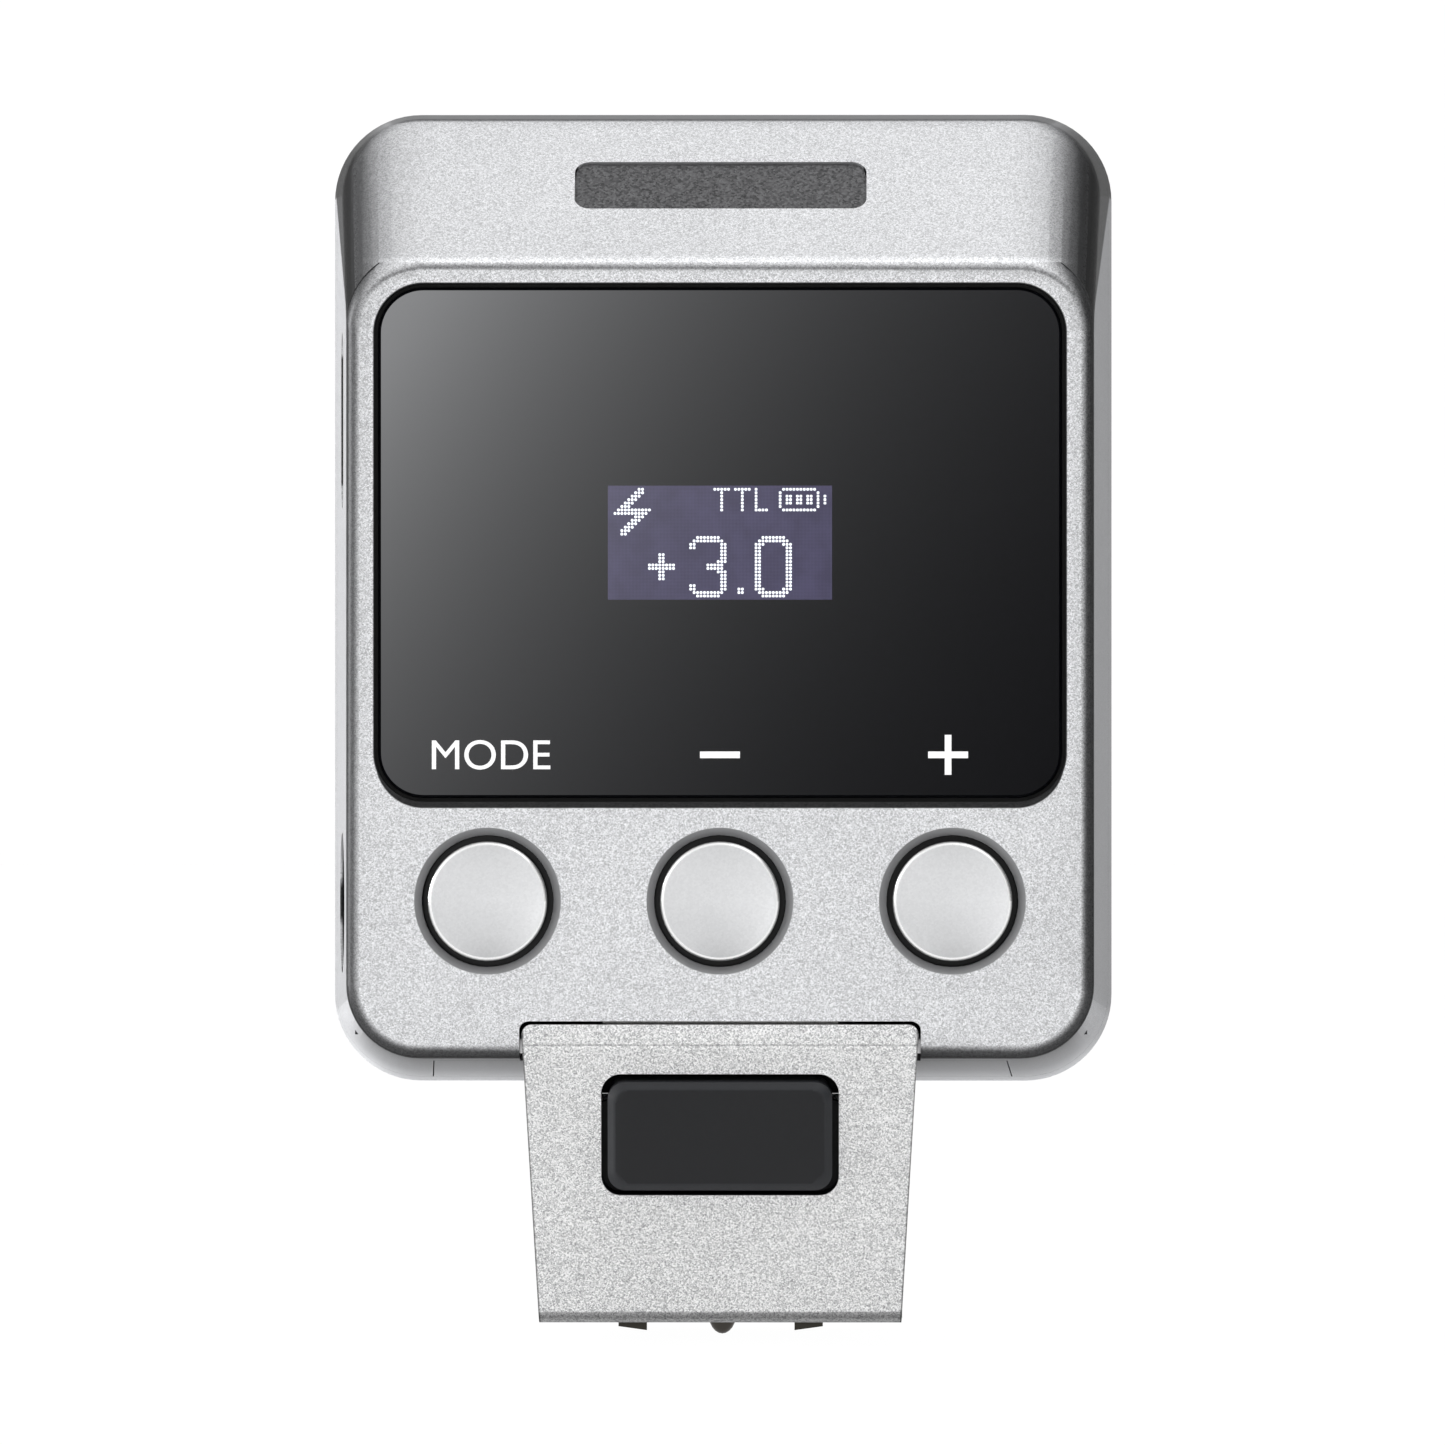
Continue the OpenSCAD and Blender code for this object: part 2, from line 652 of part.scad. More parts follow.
module main_board() {
    color("darkgreen") difference() {
        block([-board_hw, board_y, board_z0], [board_hw, board_back_y, board_z1]);
        for (x = [-1, 1], z = post_z) depth_cyl(x * post_x, z, board_y - cut, board_back_y + cut, 0.65);
        // Slot for the display's flexible tail
        block([-4, board_y - cut, oled_z - oled_h / 2 - 3.2],
            [4, board_back_y + cut, oled_z - oled_h / 2 - 2.2]);
    }
}

module board_chips() {
    // Left edge and height above the board's lower edge, width, height and thickness, in steps of the grid
    chips = [[-9, 11.8, 6, 6, 0.9], [2, 13.8, 5, 5, 0.9], [9, 16.8, 4, 3, 1.1],
        [9, 9.8, 3, 3, 1.4], [-2, 21.8, 3, 1.6, 0.8], [-10, 20.8, 2.4, 2.4, 1.2],
        [4, 5.8, 2, 1.2, 0.6], [0, 5.8, 2, 1.2, 0.6]];
    color([0.1, 0.1, 0.1])
        for (c = chips * board_grid)
            translate([c[0], board_back_y, board_z0 + c[1]]) cube([c[2], c[4], c[3]]);
}

module board_screws() {
    color("lightgray")
        for (x = [-1, 1], z = post_z)
            translate([x * post_x, board_back_y + 0.65, z]) rotate([90, 0, 0])
                screw(1.1, 0.65, screw_r, board_t + 2.6);
}

module radio_module() {
    z0 = board_z1 - radio_h - 0.4;
    x0 = radio_x1 - radio_w;
    color("gainsboro") union() {
        block([x0, board_back_y, z0], [radio_x1, board_back_y + radio_t, z0 + radio_h]);
        block([x0 + radio_t, board_back_y + radio_t, z0 + 0.6],
            [radio_x1 - 4.6, board_back_y + 3 * radio_t, z0 + radio_h - 0.6]);
    }
}

// Folded strip antenna, standing on the radio board
module antenna() {
    x0 = radio_x1 - 4;
    x1 = radio_x1 - 0.6;
    y0 = board_back_y + radio_t;
    z0 = board_z1 - radio_h + 0.2;
    strip = 0.7;
    pitch = 1.9;
    color("goldenrod") union() {
        for (i = [0:3]) block([x0, y0, z0 + i * pitch], [x1, y0 + 0.3, z0 + strip + i * pitch]);
        for (i = [0:2])
            block([i % 2 == 0 ? x1 - strip : x0, y0, z0 + i * pitch + strip / 2],
                [i % 2 == 0 ? x1 : x0 + strip, y0 + 0.3, z0 + (i + 1) * pitch + strip / 2]);
    }
}

module button_mat() {
    color([0.2, 0.2, 0.22]) union() {
        front_view(mat_y, mat_y + 0.35)
            translate([0, button_z]) rounded(2 * button_pitch + 5, 5, 1.2, $fn = shell_fn);
        for (x = [-1:1]) depth_cyl(x * button_pitch, button_z, mat_y - 0.1, mat_y + 0.1, 1.5);
    }
}

module tact_switches() {
    color("silver")
        for (x = [-1:1]) translate([x * button_pitch, 0, button_z]) {
            block([-2, mat_y + 0.6, -2], [2, board_y, 2]);
            depth_cyl(0, 0, mat_y + 0.36, mat_y + 0.7, 1);
        }
}

// Round cap with a polished rim, a shallow dish, a retaining flange and a stem
module face_button(x) {
    r = button_d / 2;
    rim = 0.22;
    front = face_y - button_proud;
    dish_r = ((r - rim) * (r - rim) + dish_depth * dish_depth) / (2 * dish_depth);
    flange = back_in_y + slip - front;
    dish_a = asin((r - rim) / dish_r);
    profile = concat(
        [for (i = [0:8]) let (a = dish_a * i / 8) [dish_r * sin(a), dish_depth - dish_r * (1 - cos(a))]],
        arc(r - rim, rim, rim, -90, 0, 5),
        [[r, flange], [r + 0.55, flange], [r + 0.55, flange + 0.5], [1.3, flange + 0.5],
            [1.3, flange + 0.95], [0, flange + 0.95]]);
    color("silver") translate([x, front, button_z]) rotate([-90, 0, 0])
        rotate_extrude($fn = round_fn) polygon(profile);
}
module mode_button() {
    face_button(-button_pitch);
}
module minus_button() {
    face_button(0);
}
module plus_button() {
    face_button(button_pitch);
}

module side_button() {
    r = side_d / 2;
    sphere_r = (r * r + side_dome * side_dome) / (2 * side_dome);
    dome_a = asin(r / sphere_r);
    profile = concat(
        [for (i = [0:6]) let (a = dome_a * i / 6)
            [sphere_r * sin(a), side_dome - side_sink - sphere_r * (1 - cos(a))]],
        [[r, -side_flange_in], [side_flange_r, -side_flange_in],
            [side_flange_r, -side_flange_in - side_flange_t],
            [side_stem_r, -side_flange_in - side_flange_t],
            [side_stem_r, -side_flange_in - side_stem_l],
            [0, -side_flange_in - side_stem_l]]);
    color("dimgray") translate([-half_w(side_y), side_y, side_z]) rotate([0, -90, 0])
        rotate_extrude($fn = round_fn) polygon(profile);
}

module side_switch() {
    x0 = -half_w(side_y) + side_flange_in + side_stem_l + button_travel + slip;
    color("lightgray") union() {
        block([x0 + 0.5, board_back_y, side_z - 2.2], [x0 + 3.5, board_back_y + 3.4, side_z + 2.2]);
        cross_cyl(side_y, side_z, x0, x0 + 0.6, 0.8);
    }
}

module usb_port() {
    x0 = -half_w(side_y) + 0.12;
    r = usb_h / 2 - 0.01;
    shell_t = 0.3;
    tongue_w = 6.7;
    tongue_t = 0.7;
    color("lightgray") union() {
        difference() {
            side_view(x0, x0 + usb_l) translate([side_y, usb_z]) rotate(90)
                rounded(usb_w, usb_h, r, $fn = round_fn);
            side_view(x0 - cut, x0 + usb_l - 0.8) translate([side_y, usb_z]) rotate(90)
                rounded(usb_w - 2 * shell_t, usb_h - 2 * shell_t, r - shell_t, $fn = round_fn);
        }
        // Contact tongue in the middle of the socket
        block([x0 + 0.7, side_y - tongue_t / 2, usb_z - tongue_w / 2],
            [x0 + usb_l - 0.5, side_y + tongue_t / 2, usb_z + tongue_w / 2]);
    }
}

module battery() {
    r = 1.2;
    color("lightsteelblue") union() {
        side_view(-battery_hw, battery_hw)
            translate([(battery_y0 + battery_y1) / 2, (battery_z0 + battery_z1) / 2])
                rounded(battery_y1 - battery_y0, battery_z1 - battery_z0, r, $fn = shell_fn);
        // Sealed seam at the top, where the leads come out
        block([-battery_hw + 1, battery_y0 + 0.4, battery_z1 - 0.2],
            [battery_hw - 1, battery_y0 + 1.2, battery_z1 + 0.6]);
    }
}

module battery_pad() {
    color([0.25, 0.25, 0.25])
        block([-battery_hw + 1.5, battery_y1 + 0.05, battery_z0 + 3],
            [battery_hw - 1.5, rear_y - wall - 0.05, battery_z1 - 3]);
}

module battery_bracket() {
    hw = half_w(bracket_y) - wall - 0.3;
    shelf_t = 1.1;
    window_in = 4.5;
    window_h = (battery_z1 - battery_z0 - 2.5 * window_in) / 2;
    color([0.15, 0.15, 0.15]) difference() {
        union() {
            block([-hw, bracket_y, battery_z0 - shelf_t - slip],
                [hw, bracket_y + bracket_t, battery_z1 + bracket_t]);
            // Shelf under the battery
            block([-battery_hw, bracket_y, battery_z0 - shelf_t - slip],
                [battery_hw, battery_y1 - 1, battery_z0 - slip]);
        }
        // Two long windows that save weight
        for (i = [0, 1]) let (z = battery_z0 + window_in + i * (window_h + window_in / 2))
            block([-battery_hw + window_in, bracket_y - cut, z],
                [battery_hw - window_in, bracket_y + bracket_t + cut, z + window_h]);
    }
}

module af_window() {
    color([0.25, 0.02, 0.03])
        front_view(rear_y - 0.95, rear_y - 0.08)
            translate([0, af_z]) rounded(af_w, af_h, 1.45, $fn = round_fn);
}

module af_lamp() {
    color("white") union() {
        block([-af_w / 2 + 1.5, rear_y - wall - 0.9, af_z - af_h / 2 + 0.5],
            [af_w / 2 - 1.5, rear_y - wall - 0.08, af_z + af_h / 2 - 0.5]);
        for (x = [-3, 3]) depth_cyl(x, af_z, rear_y - wall - 0.2, rear_y - wall + 0.35, 1.4);
    }
}

module hinge_pin() {
    color("lightgray") cross_cyl(axis_y, axis_z, -pin_l / 2, pin_l / 2, pin_r);
}

module hinge_cover() {
    color("gainsboro") difference() {
        union() {
            intersection() {
                difference() {
                    head_form();
                    head_core(wall, -3, -3);
                }
                insert_opening(0);
            }
            // Upright that carries the hinge spring
            block([-spring_hw - 1, insert_y0 + upright_gap, low_z(insert_y0) + 0.9],
                [spring_hw + 1, insert_y0 + upright_gap + 1, axis_z + 2.4]);
        }
        arm_notch();
        // Pocket of the leaf spring
        block([-spring_hw - slip, insert_y0 - cut, axis_z + slip],
            [spring_hw + slip, insert_y0 + upright_gap, axis_z + 4]);
        for (x = [-1, 1]) {
            translate([x * cover_screw_x, bridge_y, 0])
                cylinder(h = cover_z0 + 3, r = 0.85, $fn = round_fn);
            translate([x * cover_screw_x, bridge_y, low_z(bridge_y) - 2])
                cylinder(h = 2.65, r = 1.5, $fn = round_fn);
        }
    }
}

module hinge_cover_screws() {
    color("dimgray")
        for (x = [-1, 1])
            translate([x * cover_screw_x, bridge_y, low_z(bridge_y) + 0.12])
                screw(1.35, 0.5, 0.68, wall + 0.9);
}

// Leaf spring that presses on the arm's barrel
module hinge_spring() {
    t = 0.26;
    y1 = insert_y0 + upright_gap - 0.02;
    color("silver") union() {
        block([-spring_hw, y1 - t, axis_z + 0.2], [spring_hw, y1, axis_z + 2.2]);
        // Ridges that bear on the barrel
        for (x = [-4.5, 0, 4.5]) cross_cyl(y1 - t - 0.03, axis_z + 0.5, x - 1.2, x + 1.2, t / 2);
    }
}

// Side view of the arm: flush flange, hinge barrel, leaning plate and deep lower body
function arm_profile() = let (
        a0 = atan2(flange_top_z - axis_z, face_y - axis_y),
        r = 0.7,
        lift = r * tan(45 - lean / 2))
    concat(
        [[face_y, arm_crease_z]],
        arc(axis_y, axis_z, barrel_r, a0, -40, 16),
        [[axis_y + barrel_r * cos(40), arm_top_z], [arm_rear_y, arm_top_z], [arm_rear_y, foot_t],
            [foot_start_y, foot_t], [foot_start_y, 0]],
        arc(arm_front_bottom_y + lift, r, r, 270, 180 + lean, 5));

// Front view of the arm: a tapered plate with small top corners
module arm_outline(inset, z0, z1, r) {
    a = arm_hw(z1) - inset;
    polygon(concat(
        [[-arm_hw(z0) + inset, z0], [arm_hw(z0) - inset, z0]],
        arc(a - r, z1 - r, r, 0, 90, 5),
        arc(-a + r, z1 - r, r, 90, 180, 5)));
}

module arm_shell() {
    color("lightsteelblue") difference() {
        union() {
            difference() {
                intersection() {
                    side_view(-arm_top_w, arm_top_w) polygon(arm_profile());
                    front_view(face_y - cut, arm_rear_y + cut)
                        arm_outline(0, 0, flange_top_z, arm_corner_r);
                }
                // Hollow behind the front plate, open to the rear
                intersection() {
                    side_view(-arm_top_w, arm_top_w) polygon([
                        [arm_front_y(foot_t) + plate_t, foot_t - cut],
                        [arm_front_y(arm_cavity_z) + plate_t, arm_cavity_z],
                        [arm_rear_y + cut, arm_cavity_z],
                        [arm_rear_y + cut, foot_t - cut]]);
                    front_view(face_y, arm_rear_y + 2 * cut)
                        arm_outline(arm_side_wall, -cut, arm_cavity_z, arm_corner_r);
                }
            }
            // Bosses for the foot screws and for the rear cover's screw
            for (x = [-1, 1])
                translate([x * foot_screw_x, foot_screw_y, foot_t + 0.02])
                    cylinder(h = foot_boss_h, r = foot_boss_r, $fn = round_fn);
            depth_cyl(0, arm_screw_z, arm_front_y(arm_screw_z) + plate_t - 0.2,
                arm_rear_y - arm_cover_t - 0.05, 1.2);
        }
        on_arm() translate([0, release_v, -plate_t - 1.7]) linear_extrude(plate_t + 4)
            rounded(release_w + 2 * release_gap, release_h + 2 * release_gap, release_r + 0.1,
                $fn = round_fn);
        cross_cyl(axis_y, axis_z, -arm_top_w, arm_top_w, pin_bore_r);
        for (x = [-1, 1])
            translate([x * foot_screw_x, foot_screw_y, 0])
                cylinder(h = foot_t + 2.6, r = foot_screw_r + 0.02, $fn = round_fn);
        depth_cyl(0, arm_screw_z, arm_rear_y - 3, arm_rear_y, 0.52);
    }
}

module arm_rear_cover() {
    z1 = arm_top_z - 1.1;
    y0 = arm_rear_y - arm_cover_t;
    color("lightsteelblue") difference() {
        front_view(y0, arm_rear_y) arm_outline(arm_side_wall + fit, foot_t + 0.05, z1, 0.45);
        depth_cyl(0, arm_screw_z, y0 - cut, arm_rear_y + cut, 0.6);
        depth_cyl(0, arm_screw_z, arm_rear_y - 0.45, arm_rear_y + cut, 1.2);
    }
}

module arm_cover_screw() {
    color("dimgray") translate([0, arm_rear_y - 0.05, arm_screw_z]) rotate([90, 0, 0])
        screw(1.1, 0.4, screw_r, 2.3);
}

// Button cap with bevelled edges, a retaining flange and two wedges that lift the slider
module release_button() {
    bevel = 0.4;
    flange_w = release_w + 2 * release_gap + 2 * flange_lip;
    flange_n = -plate_t - slip;
    stroke_n = flange_n - release_flange_t - release_travel;
    flange_v1 = (arm_cavity_z - 0.15 - arm_crease_z + stroke_n * sin(lean)) / cos(lean) - release_v;
    flange_v0 = -release_h / 2 - release_gap - flange_lip;
    wedge_y0 = arm_front_y(wedge_tip_z) + plate_t + 0.3;
    color([0.08, 0.08, 0.08]) union() {
        on_arm() translate([0, release_v, 0]) {
            hull() {
                translate([0, 0, release_proud - bevel]) mirror([0, 0, 1])
                    linear_extrude(0.01) rounded(release_w, release_h, release_r, $fn = shell_fn);
                translate([0, 0, release_proud - 0.12])
                    linear_extrude(0.01) rounded(release_w - 1.3 * bevel, release_h - 1.3 * bevel,
                        release_r - 0.2, $fn = shell_fn);
                translate([0, 0, release_proud - 0.01])
                    linear_extrude(0.01) rounded(release_w - 2.2 * bevel, release_h - 2.2 * bevel,
                        release_r - 0.3, $fn = shell_fn);
            }
            translate([0, 0, flange_n - 0.1]) linear_extrude(release_proud - bevel - flange_n + 0.1)
                rounded(release_w, release_h, release_r, $fn = shell_fn);
            translate([0, (flange_v0 + flange_v1) / 2, flange_n - release_flange_t])
                linear_extrude(release_flange_t)
                    rounded(flange_w, flange_v1 - flange_v0, release_r, $fn = shell_fn);
        }
        for (x = [-wedge_x, wedge_x])
            side_view(x - wedge_w / 2, x + wedge_w / 2) polygon([
                [wedge_y0, wedge_tip_z - 1.2],
                [wedge_tip_y, wedge_tip_z - 0.6],
                [wedge_tip_y, wedge_tip_z],
                [wedge_y0, wedge_tip_z + (wedge_tip_y - wedge_y0) * release_wedge_slope]]);
    }
}

// Sliding plate with two spring wings, two sloped windows and two teeth
module lock_slider() {
    gap = 0.04;
    color("gray") difference() {
        union() {
            block([-slider_hw, slider_y, slider_z0], [slider_hw, slider_y + slider_t, slider_z1]);
            block([-wing_hw, slider_y, slider_z1 - wing_z], [wing_hw, slider_y + slider_t, slider_z1]);
            for (x = [-1, 1]) front_view(slider_y, slider_y + slider_t) polygon([
                [x * (tooth_x - tooth_w / 2), slider_z0 + 0.1],
                [x * (tooth_x - tooth_w / 2), -contact_out],
                [x * (tooth_x + tooth_w / 2), -contact_out + 0.2],
                [x * (tooth_x + tooth_w / 2), slider_z0 + 0.1]]);
        }
        // Windows whose upper edges ride on the wedges
        low = wedge_tip_z - 0.95 - lock_lift;
        mid = wedge_tip_z + gap + (wedge_tip_y - slider_y) * release_wedge_slope;
        fall = cut * release_wedge_slope;
        for (x = [-wedge_x, wedge_x])
            side_view(x - wedge_w / 2 - 0.15, x + wedge_w / 2 + 0.15) polygon([
                [slider_y - cut, low], [slider_y + cut, low],
                [slider_y + cut, mid - fall], [slider_y - cut, mid + fall]]);
    }
}

module lock_springs() {
    color("lightgray")
        for (x = [-spring_x, spring_x])
            translate([x, slider_y + slider_t / 2, slider_z1 + 0.05])
                coil(0.5, 0.12, spring_top_z - slider_z1 - 0.1, 5);
}

module foot_plate() {
    y1 = foot_l / 2;
    y0 = foot_start_y + 0.05;
    hw = foot_w / 2;
    shoulder_y = arm_rear_y + 0.05;
    corner = 1.5;
    bevel = 0.5;
    color("silver") difference() {
        intersection() {
            linear_extrude(foot_t) polygon([
                [-arm_hw(0), y0], [arm_hw(0), y0],
                [arm_hw(0), shoulder_y], [hw, shoulder_y + 0.3],
                [hw, y1 - corner], [hw - corner, y1],
                [-hw + corner, y1], [-hw, y1 - corner],
                [-hw, shoulder_y + 0.3], [-arm_hw(0), shoulder_y]]);
            // Lead-in bevels on the leading edge
            side_view(-foot_w, foot_w) polygon([
                [y0 - cut, 0], [y1 - bevel, 0], [y1, bevel],
                [y1, foot_t - bevel], [y1 - bevel, foot_t], [y0 - cut, foot_t]]);
        }
        block([-carrier_hw - fit, carrier_y0 - fit, -cut],
            [carrier_hw + fit, carrier_y1 + fit, foot_t + cut]);
        for (x = [-1, 1])
            block([x * tooth_x - tooth_w / 2 - 0.15, slider_y - 0.15, -cut],
                [x * tooth_x + tooth_w / 2 + 0.15, slider_y + slider_t + 0.15, foot_t + cut]);
        for (x = [-1, 1]) {
            translate([x * foot_screw_x, foot_screw_y, -cut])
                cylinder(h = foot_t + 2 * cut, r = foot_screw_r + 0.05, $fn = round_fn);
            translate([x * foot_screw_x, foot_screw_y, -cut])
                cylinder(h = cut + 0.8, r = foot_recess_r, $fn = round_fn);
        }
    }
}

module foot_screws() {
    color("dimgray")
        for (x = [-1, 1]) translate([x * foot_screw_x, foot_screw_y, 0.1])
            screw(foot_head_r, 0.65, foot_screw_r, foot_t + 1.6);
}

module contact_carrier() {
    color([0.12, 0.12, 0.12]) difference() {
        block([-carrier_hw, carrier_y0, 0], [carrier_hw, carrier_y1, foot_t]);
        translate([0, 0, -cut]) cylinder(h = cut + 1, r = contact_bore_r, $fn = round_fn);
        translate([0, 0, 0.55]) cylinder(h = foot_t - 0.75, r = contact_pocket_r, $fn = round_fn);
        for (i = [-4:4])
            block([i - 0.32, carrier_y1 - 3, -cut], [i + 0.32, carrier_y1 - 0.4, 0.35]);
    }
}

module centre_contact() {
    r = contact_d / 2;
    color("goldenrod") rotate_extrude($fn = round_fn) polygon(concat(
        [for (i = [0:6]) let (a = 90 * i / 6) [r * sin(a), -contact_out + 0.45 * (1 - cos(a))]],
        [[r, 0.6], [r + 0.4, 0.6], [r + 0.4, 0.85], [0.35, 0.85], [0.35, 1.1], [0, 1.1]]));
}

module contact_spring() {
    color("lightgray") translate([0, 0, 0.87]) coil(0.62, 0.06, foot_t - 0.25 - 0.87, 2.5);
}

module data_contacts() {
    color("goldenrod")
        for (i = [-4:4])
            block([i - 0.28, carrier_y1 - 2.96, 0.03], [i + 0.28, carrier_y1 - 0.44, 0.33]);
}

front_cover();
main_housing();
rear_cover();
rear_screws();
badge_plate();
display_glass();
glass_gasket();
oled_panel();
oled_holder();
main_board();
board_chips();
board_screws();
radio_module();
antenna();
button_mat();
tact_switches();
mode_button();
minus_button();
plus_button();
side_button();
side_switch();
usb_port();
battery();
battery_pad();
battery_bracket();
af_window();
af_lamp();
hinge_pin();
hinge_cover();
hinge_cover_screws();
hinge_spring();
arm_shell();
arm_rear_cover();
arm_cover_screw();
release_button();
lock_slider();
lock_springs();
foot_plate();
foot_screws();
contact_carrier();
centre_contact();
contact_spring();
data_contacts();
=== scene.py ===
import json
from math import cos, pi, radians, sin, tau

import bmesh
import bpy
from bpy.props import FloatProperty, FloatVectorProperty, PointerProperty
from bpy.types import Operator, Panel, PropertyGroup
from mathutils import Matrix, Vector


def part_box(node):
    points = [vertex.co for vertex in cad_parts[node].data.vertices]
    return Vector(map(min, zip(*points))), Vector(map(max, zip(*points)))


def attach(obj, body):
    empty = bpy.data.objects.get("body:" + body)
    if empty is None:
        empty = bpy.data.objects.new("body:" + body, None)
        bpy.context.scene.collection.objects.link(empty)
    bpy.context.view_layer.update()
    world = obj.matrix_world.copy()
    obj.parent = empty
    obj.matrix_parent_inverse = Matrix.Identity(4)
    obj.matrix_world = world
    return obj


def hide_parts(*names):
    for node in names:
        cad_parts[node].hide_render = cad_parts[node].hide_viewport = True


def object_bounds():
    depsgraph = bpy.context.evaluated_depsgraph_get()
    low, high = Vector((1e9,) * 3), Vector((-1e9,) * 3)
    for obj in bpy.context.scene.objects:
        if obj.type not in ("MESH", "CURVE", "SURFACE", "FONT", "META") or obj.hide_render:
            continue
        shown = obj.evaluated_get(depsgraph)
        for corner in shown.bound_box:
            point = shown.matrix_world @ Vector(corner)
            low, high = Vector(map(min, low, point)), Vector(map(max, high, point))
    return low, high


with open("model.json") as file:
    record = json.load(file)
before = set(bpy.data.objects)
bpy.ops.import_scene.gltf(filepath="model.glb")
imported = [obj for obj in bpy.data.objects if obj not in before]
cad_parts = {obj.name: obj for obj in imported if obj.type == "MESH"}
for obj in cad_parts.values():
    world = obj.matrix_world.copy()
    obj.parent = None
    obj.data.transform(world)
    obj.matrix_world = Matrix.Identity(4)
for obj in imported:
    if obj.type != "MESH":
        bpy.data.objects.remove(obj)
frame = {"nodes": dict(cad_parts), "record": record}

bl_info = {
    "name": "Wireless Flash Trigger",
    "version": (1, 0, 0),
    "blender": (4, 5, 0),
    "location": "3D View > Sidebar > Trigger",
    "description": "Dresses a packed wireless flash trigger and its studio stage",
    "category": "Object",
}

CAD_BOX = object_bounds()
MM = 0.001

# Heights and faces that the pieces are set out from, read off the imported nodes
GLASS_LOW, GLASS_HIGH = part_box("display_glass")
OLED_LOW, OLED_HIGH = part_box("oled_panel")
COVER_LOW, COVER_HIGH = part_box("front_cover")
ARM_LOW, ARM_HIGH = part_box("arm_shell")
FOOT_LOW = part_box("foot_plate")[0]
HOUSING_LOW, HOUSING_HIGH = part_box("main_housing")
# The dressed contact's dome reaches this many times as far below the sole as the solid
CONTACT_STRETCH = 2.46
# Turns a flat shape up to face the user
UPRIGHT = Matrix.Rotation(radians(90), 3, "X")
# The fold where the arm's flange meets its drafted front
ARM_CREASE = ARM_HIGH.z - 1.05 * MM
GLASS_FACE = GLASS_LOW.y
GLASS_MID = (GLASS_LOW + GLASS_HIGH) / 2
DISPLAY_MID = Vector((0.0, GLASS_FACE, (OLED_LOW.z + OLED_HIGH.z) / 2))


def middle(node):
    """Centre of a CAD node's box."""
    low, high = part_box(node)
    return (low + high) / 2


# ---------------------------------------------------------------- settings


def length(name, description, default, low, high, precision=5):
    """A setting in metres."""
    return FloatProperty(
        name=name,
        description=description,
        default=default,
        min=low,
        max=high,
        unit="LENGTH",
        precision=precision,
    )


def paint(name, description, default):
    """A colour setting."""
    return FloatVectorProperty(
        name=name,
        description=description,
        subtype="COLOR",
        size=3,
        min=0,
        max=1,
        default=default,
    )


class TriggerSizes(PropertyGroup):
    """Sizes of the printed marks and of the display's dots."""

    letter_height: length(
        "Letter height", "Height of the printed capitals", 1.5 * MM, 0.5 * MM, 3 * MM
    )
    sign_width: length(
        "Sign width", "Width of the minus and plus signs", 2.03 * MM, 1 * MM, 4 * MM
    )
    sign_stroke: length(
        "Sign stroke", "Thickness of the signs' strokes", 0.34 * MM, 0.1 * MM, 1 * MM
    )
    print_depth: length(
        "Print depth", "Thickness of the printed marks", 0.012 * MM, 0.005 * MM, 0.1 * MM, 6
    )
    dot_pitch: length(
        "Dot pitch", "Spacing of the dots of the display", 0.1747 * MM, 0.1 * MM, 0.3 * MM, 6
    )
    dot_width: length(
        "Dot width", "Diameter of one lit dot of the display", 0.148 * MM, 0.05 * MM, 0.3 * MM, 6
    )


class TriggerColours(PropertyGroup):
    """Base colours of the finishes."""

    silver: paint(
        "Silver paint", "Satin metallic paint of the front cover", (0.66, 0.665, 0.68)
    )
    housing: paint(
        "Housing paint", "Metallic paint of the housing ring", (0.62, 0.625, 0.64)
    )
    casting: paint("Arm paint", "Coarse metallic paint of the cast arm", (0.93, 0.95, 1.0))
    cap: paint("Button caps", "Satin metal of the round buttons", (0.72, 0.725, 0.735))
    black: paint(
        "Black plastic", "Matte plastic of the release button", (0.0115, 0.012, 0.0135)
    )
    badge: paint(
        "Badge plate", "Dark grained plate in the slanted panel", (0.1, 0.1, 0.103)
    )
    print_white: paint("Print", "White of the printed marks", (0.86, 0.86, 0.87))
    field: paint(
        "Display field", "Unlit field of the display behind the glass", (0.058, 0.052, 0.103)
    )


# --------------------------------------------------------------- materials


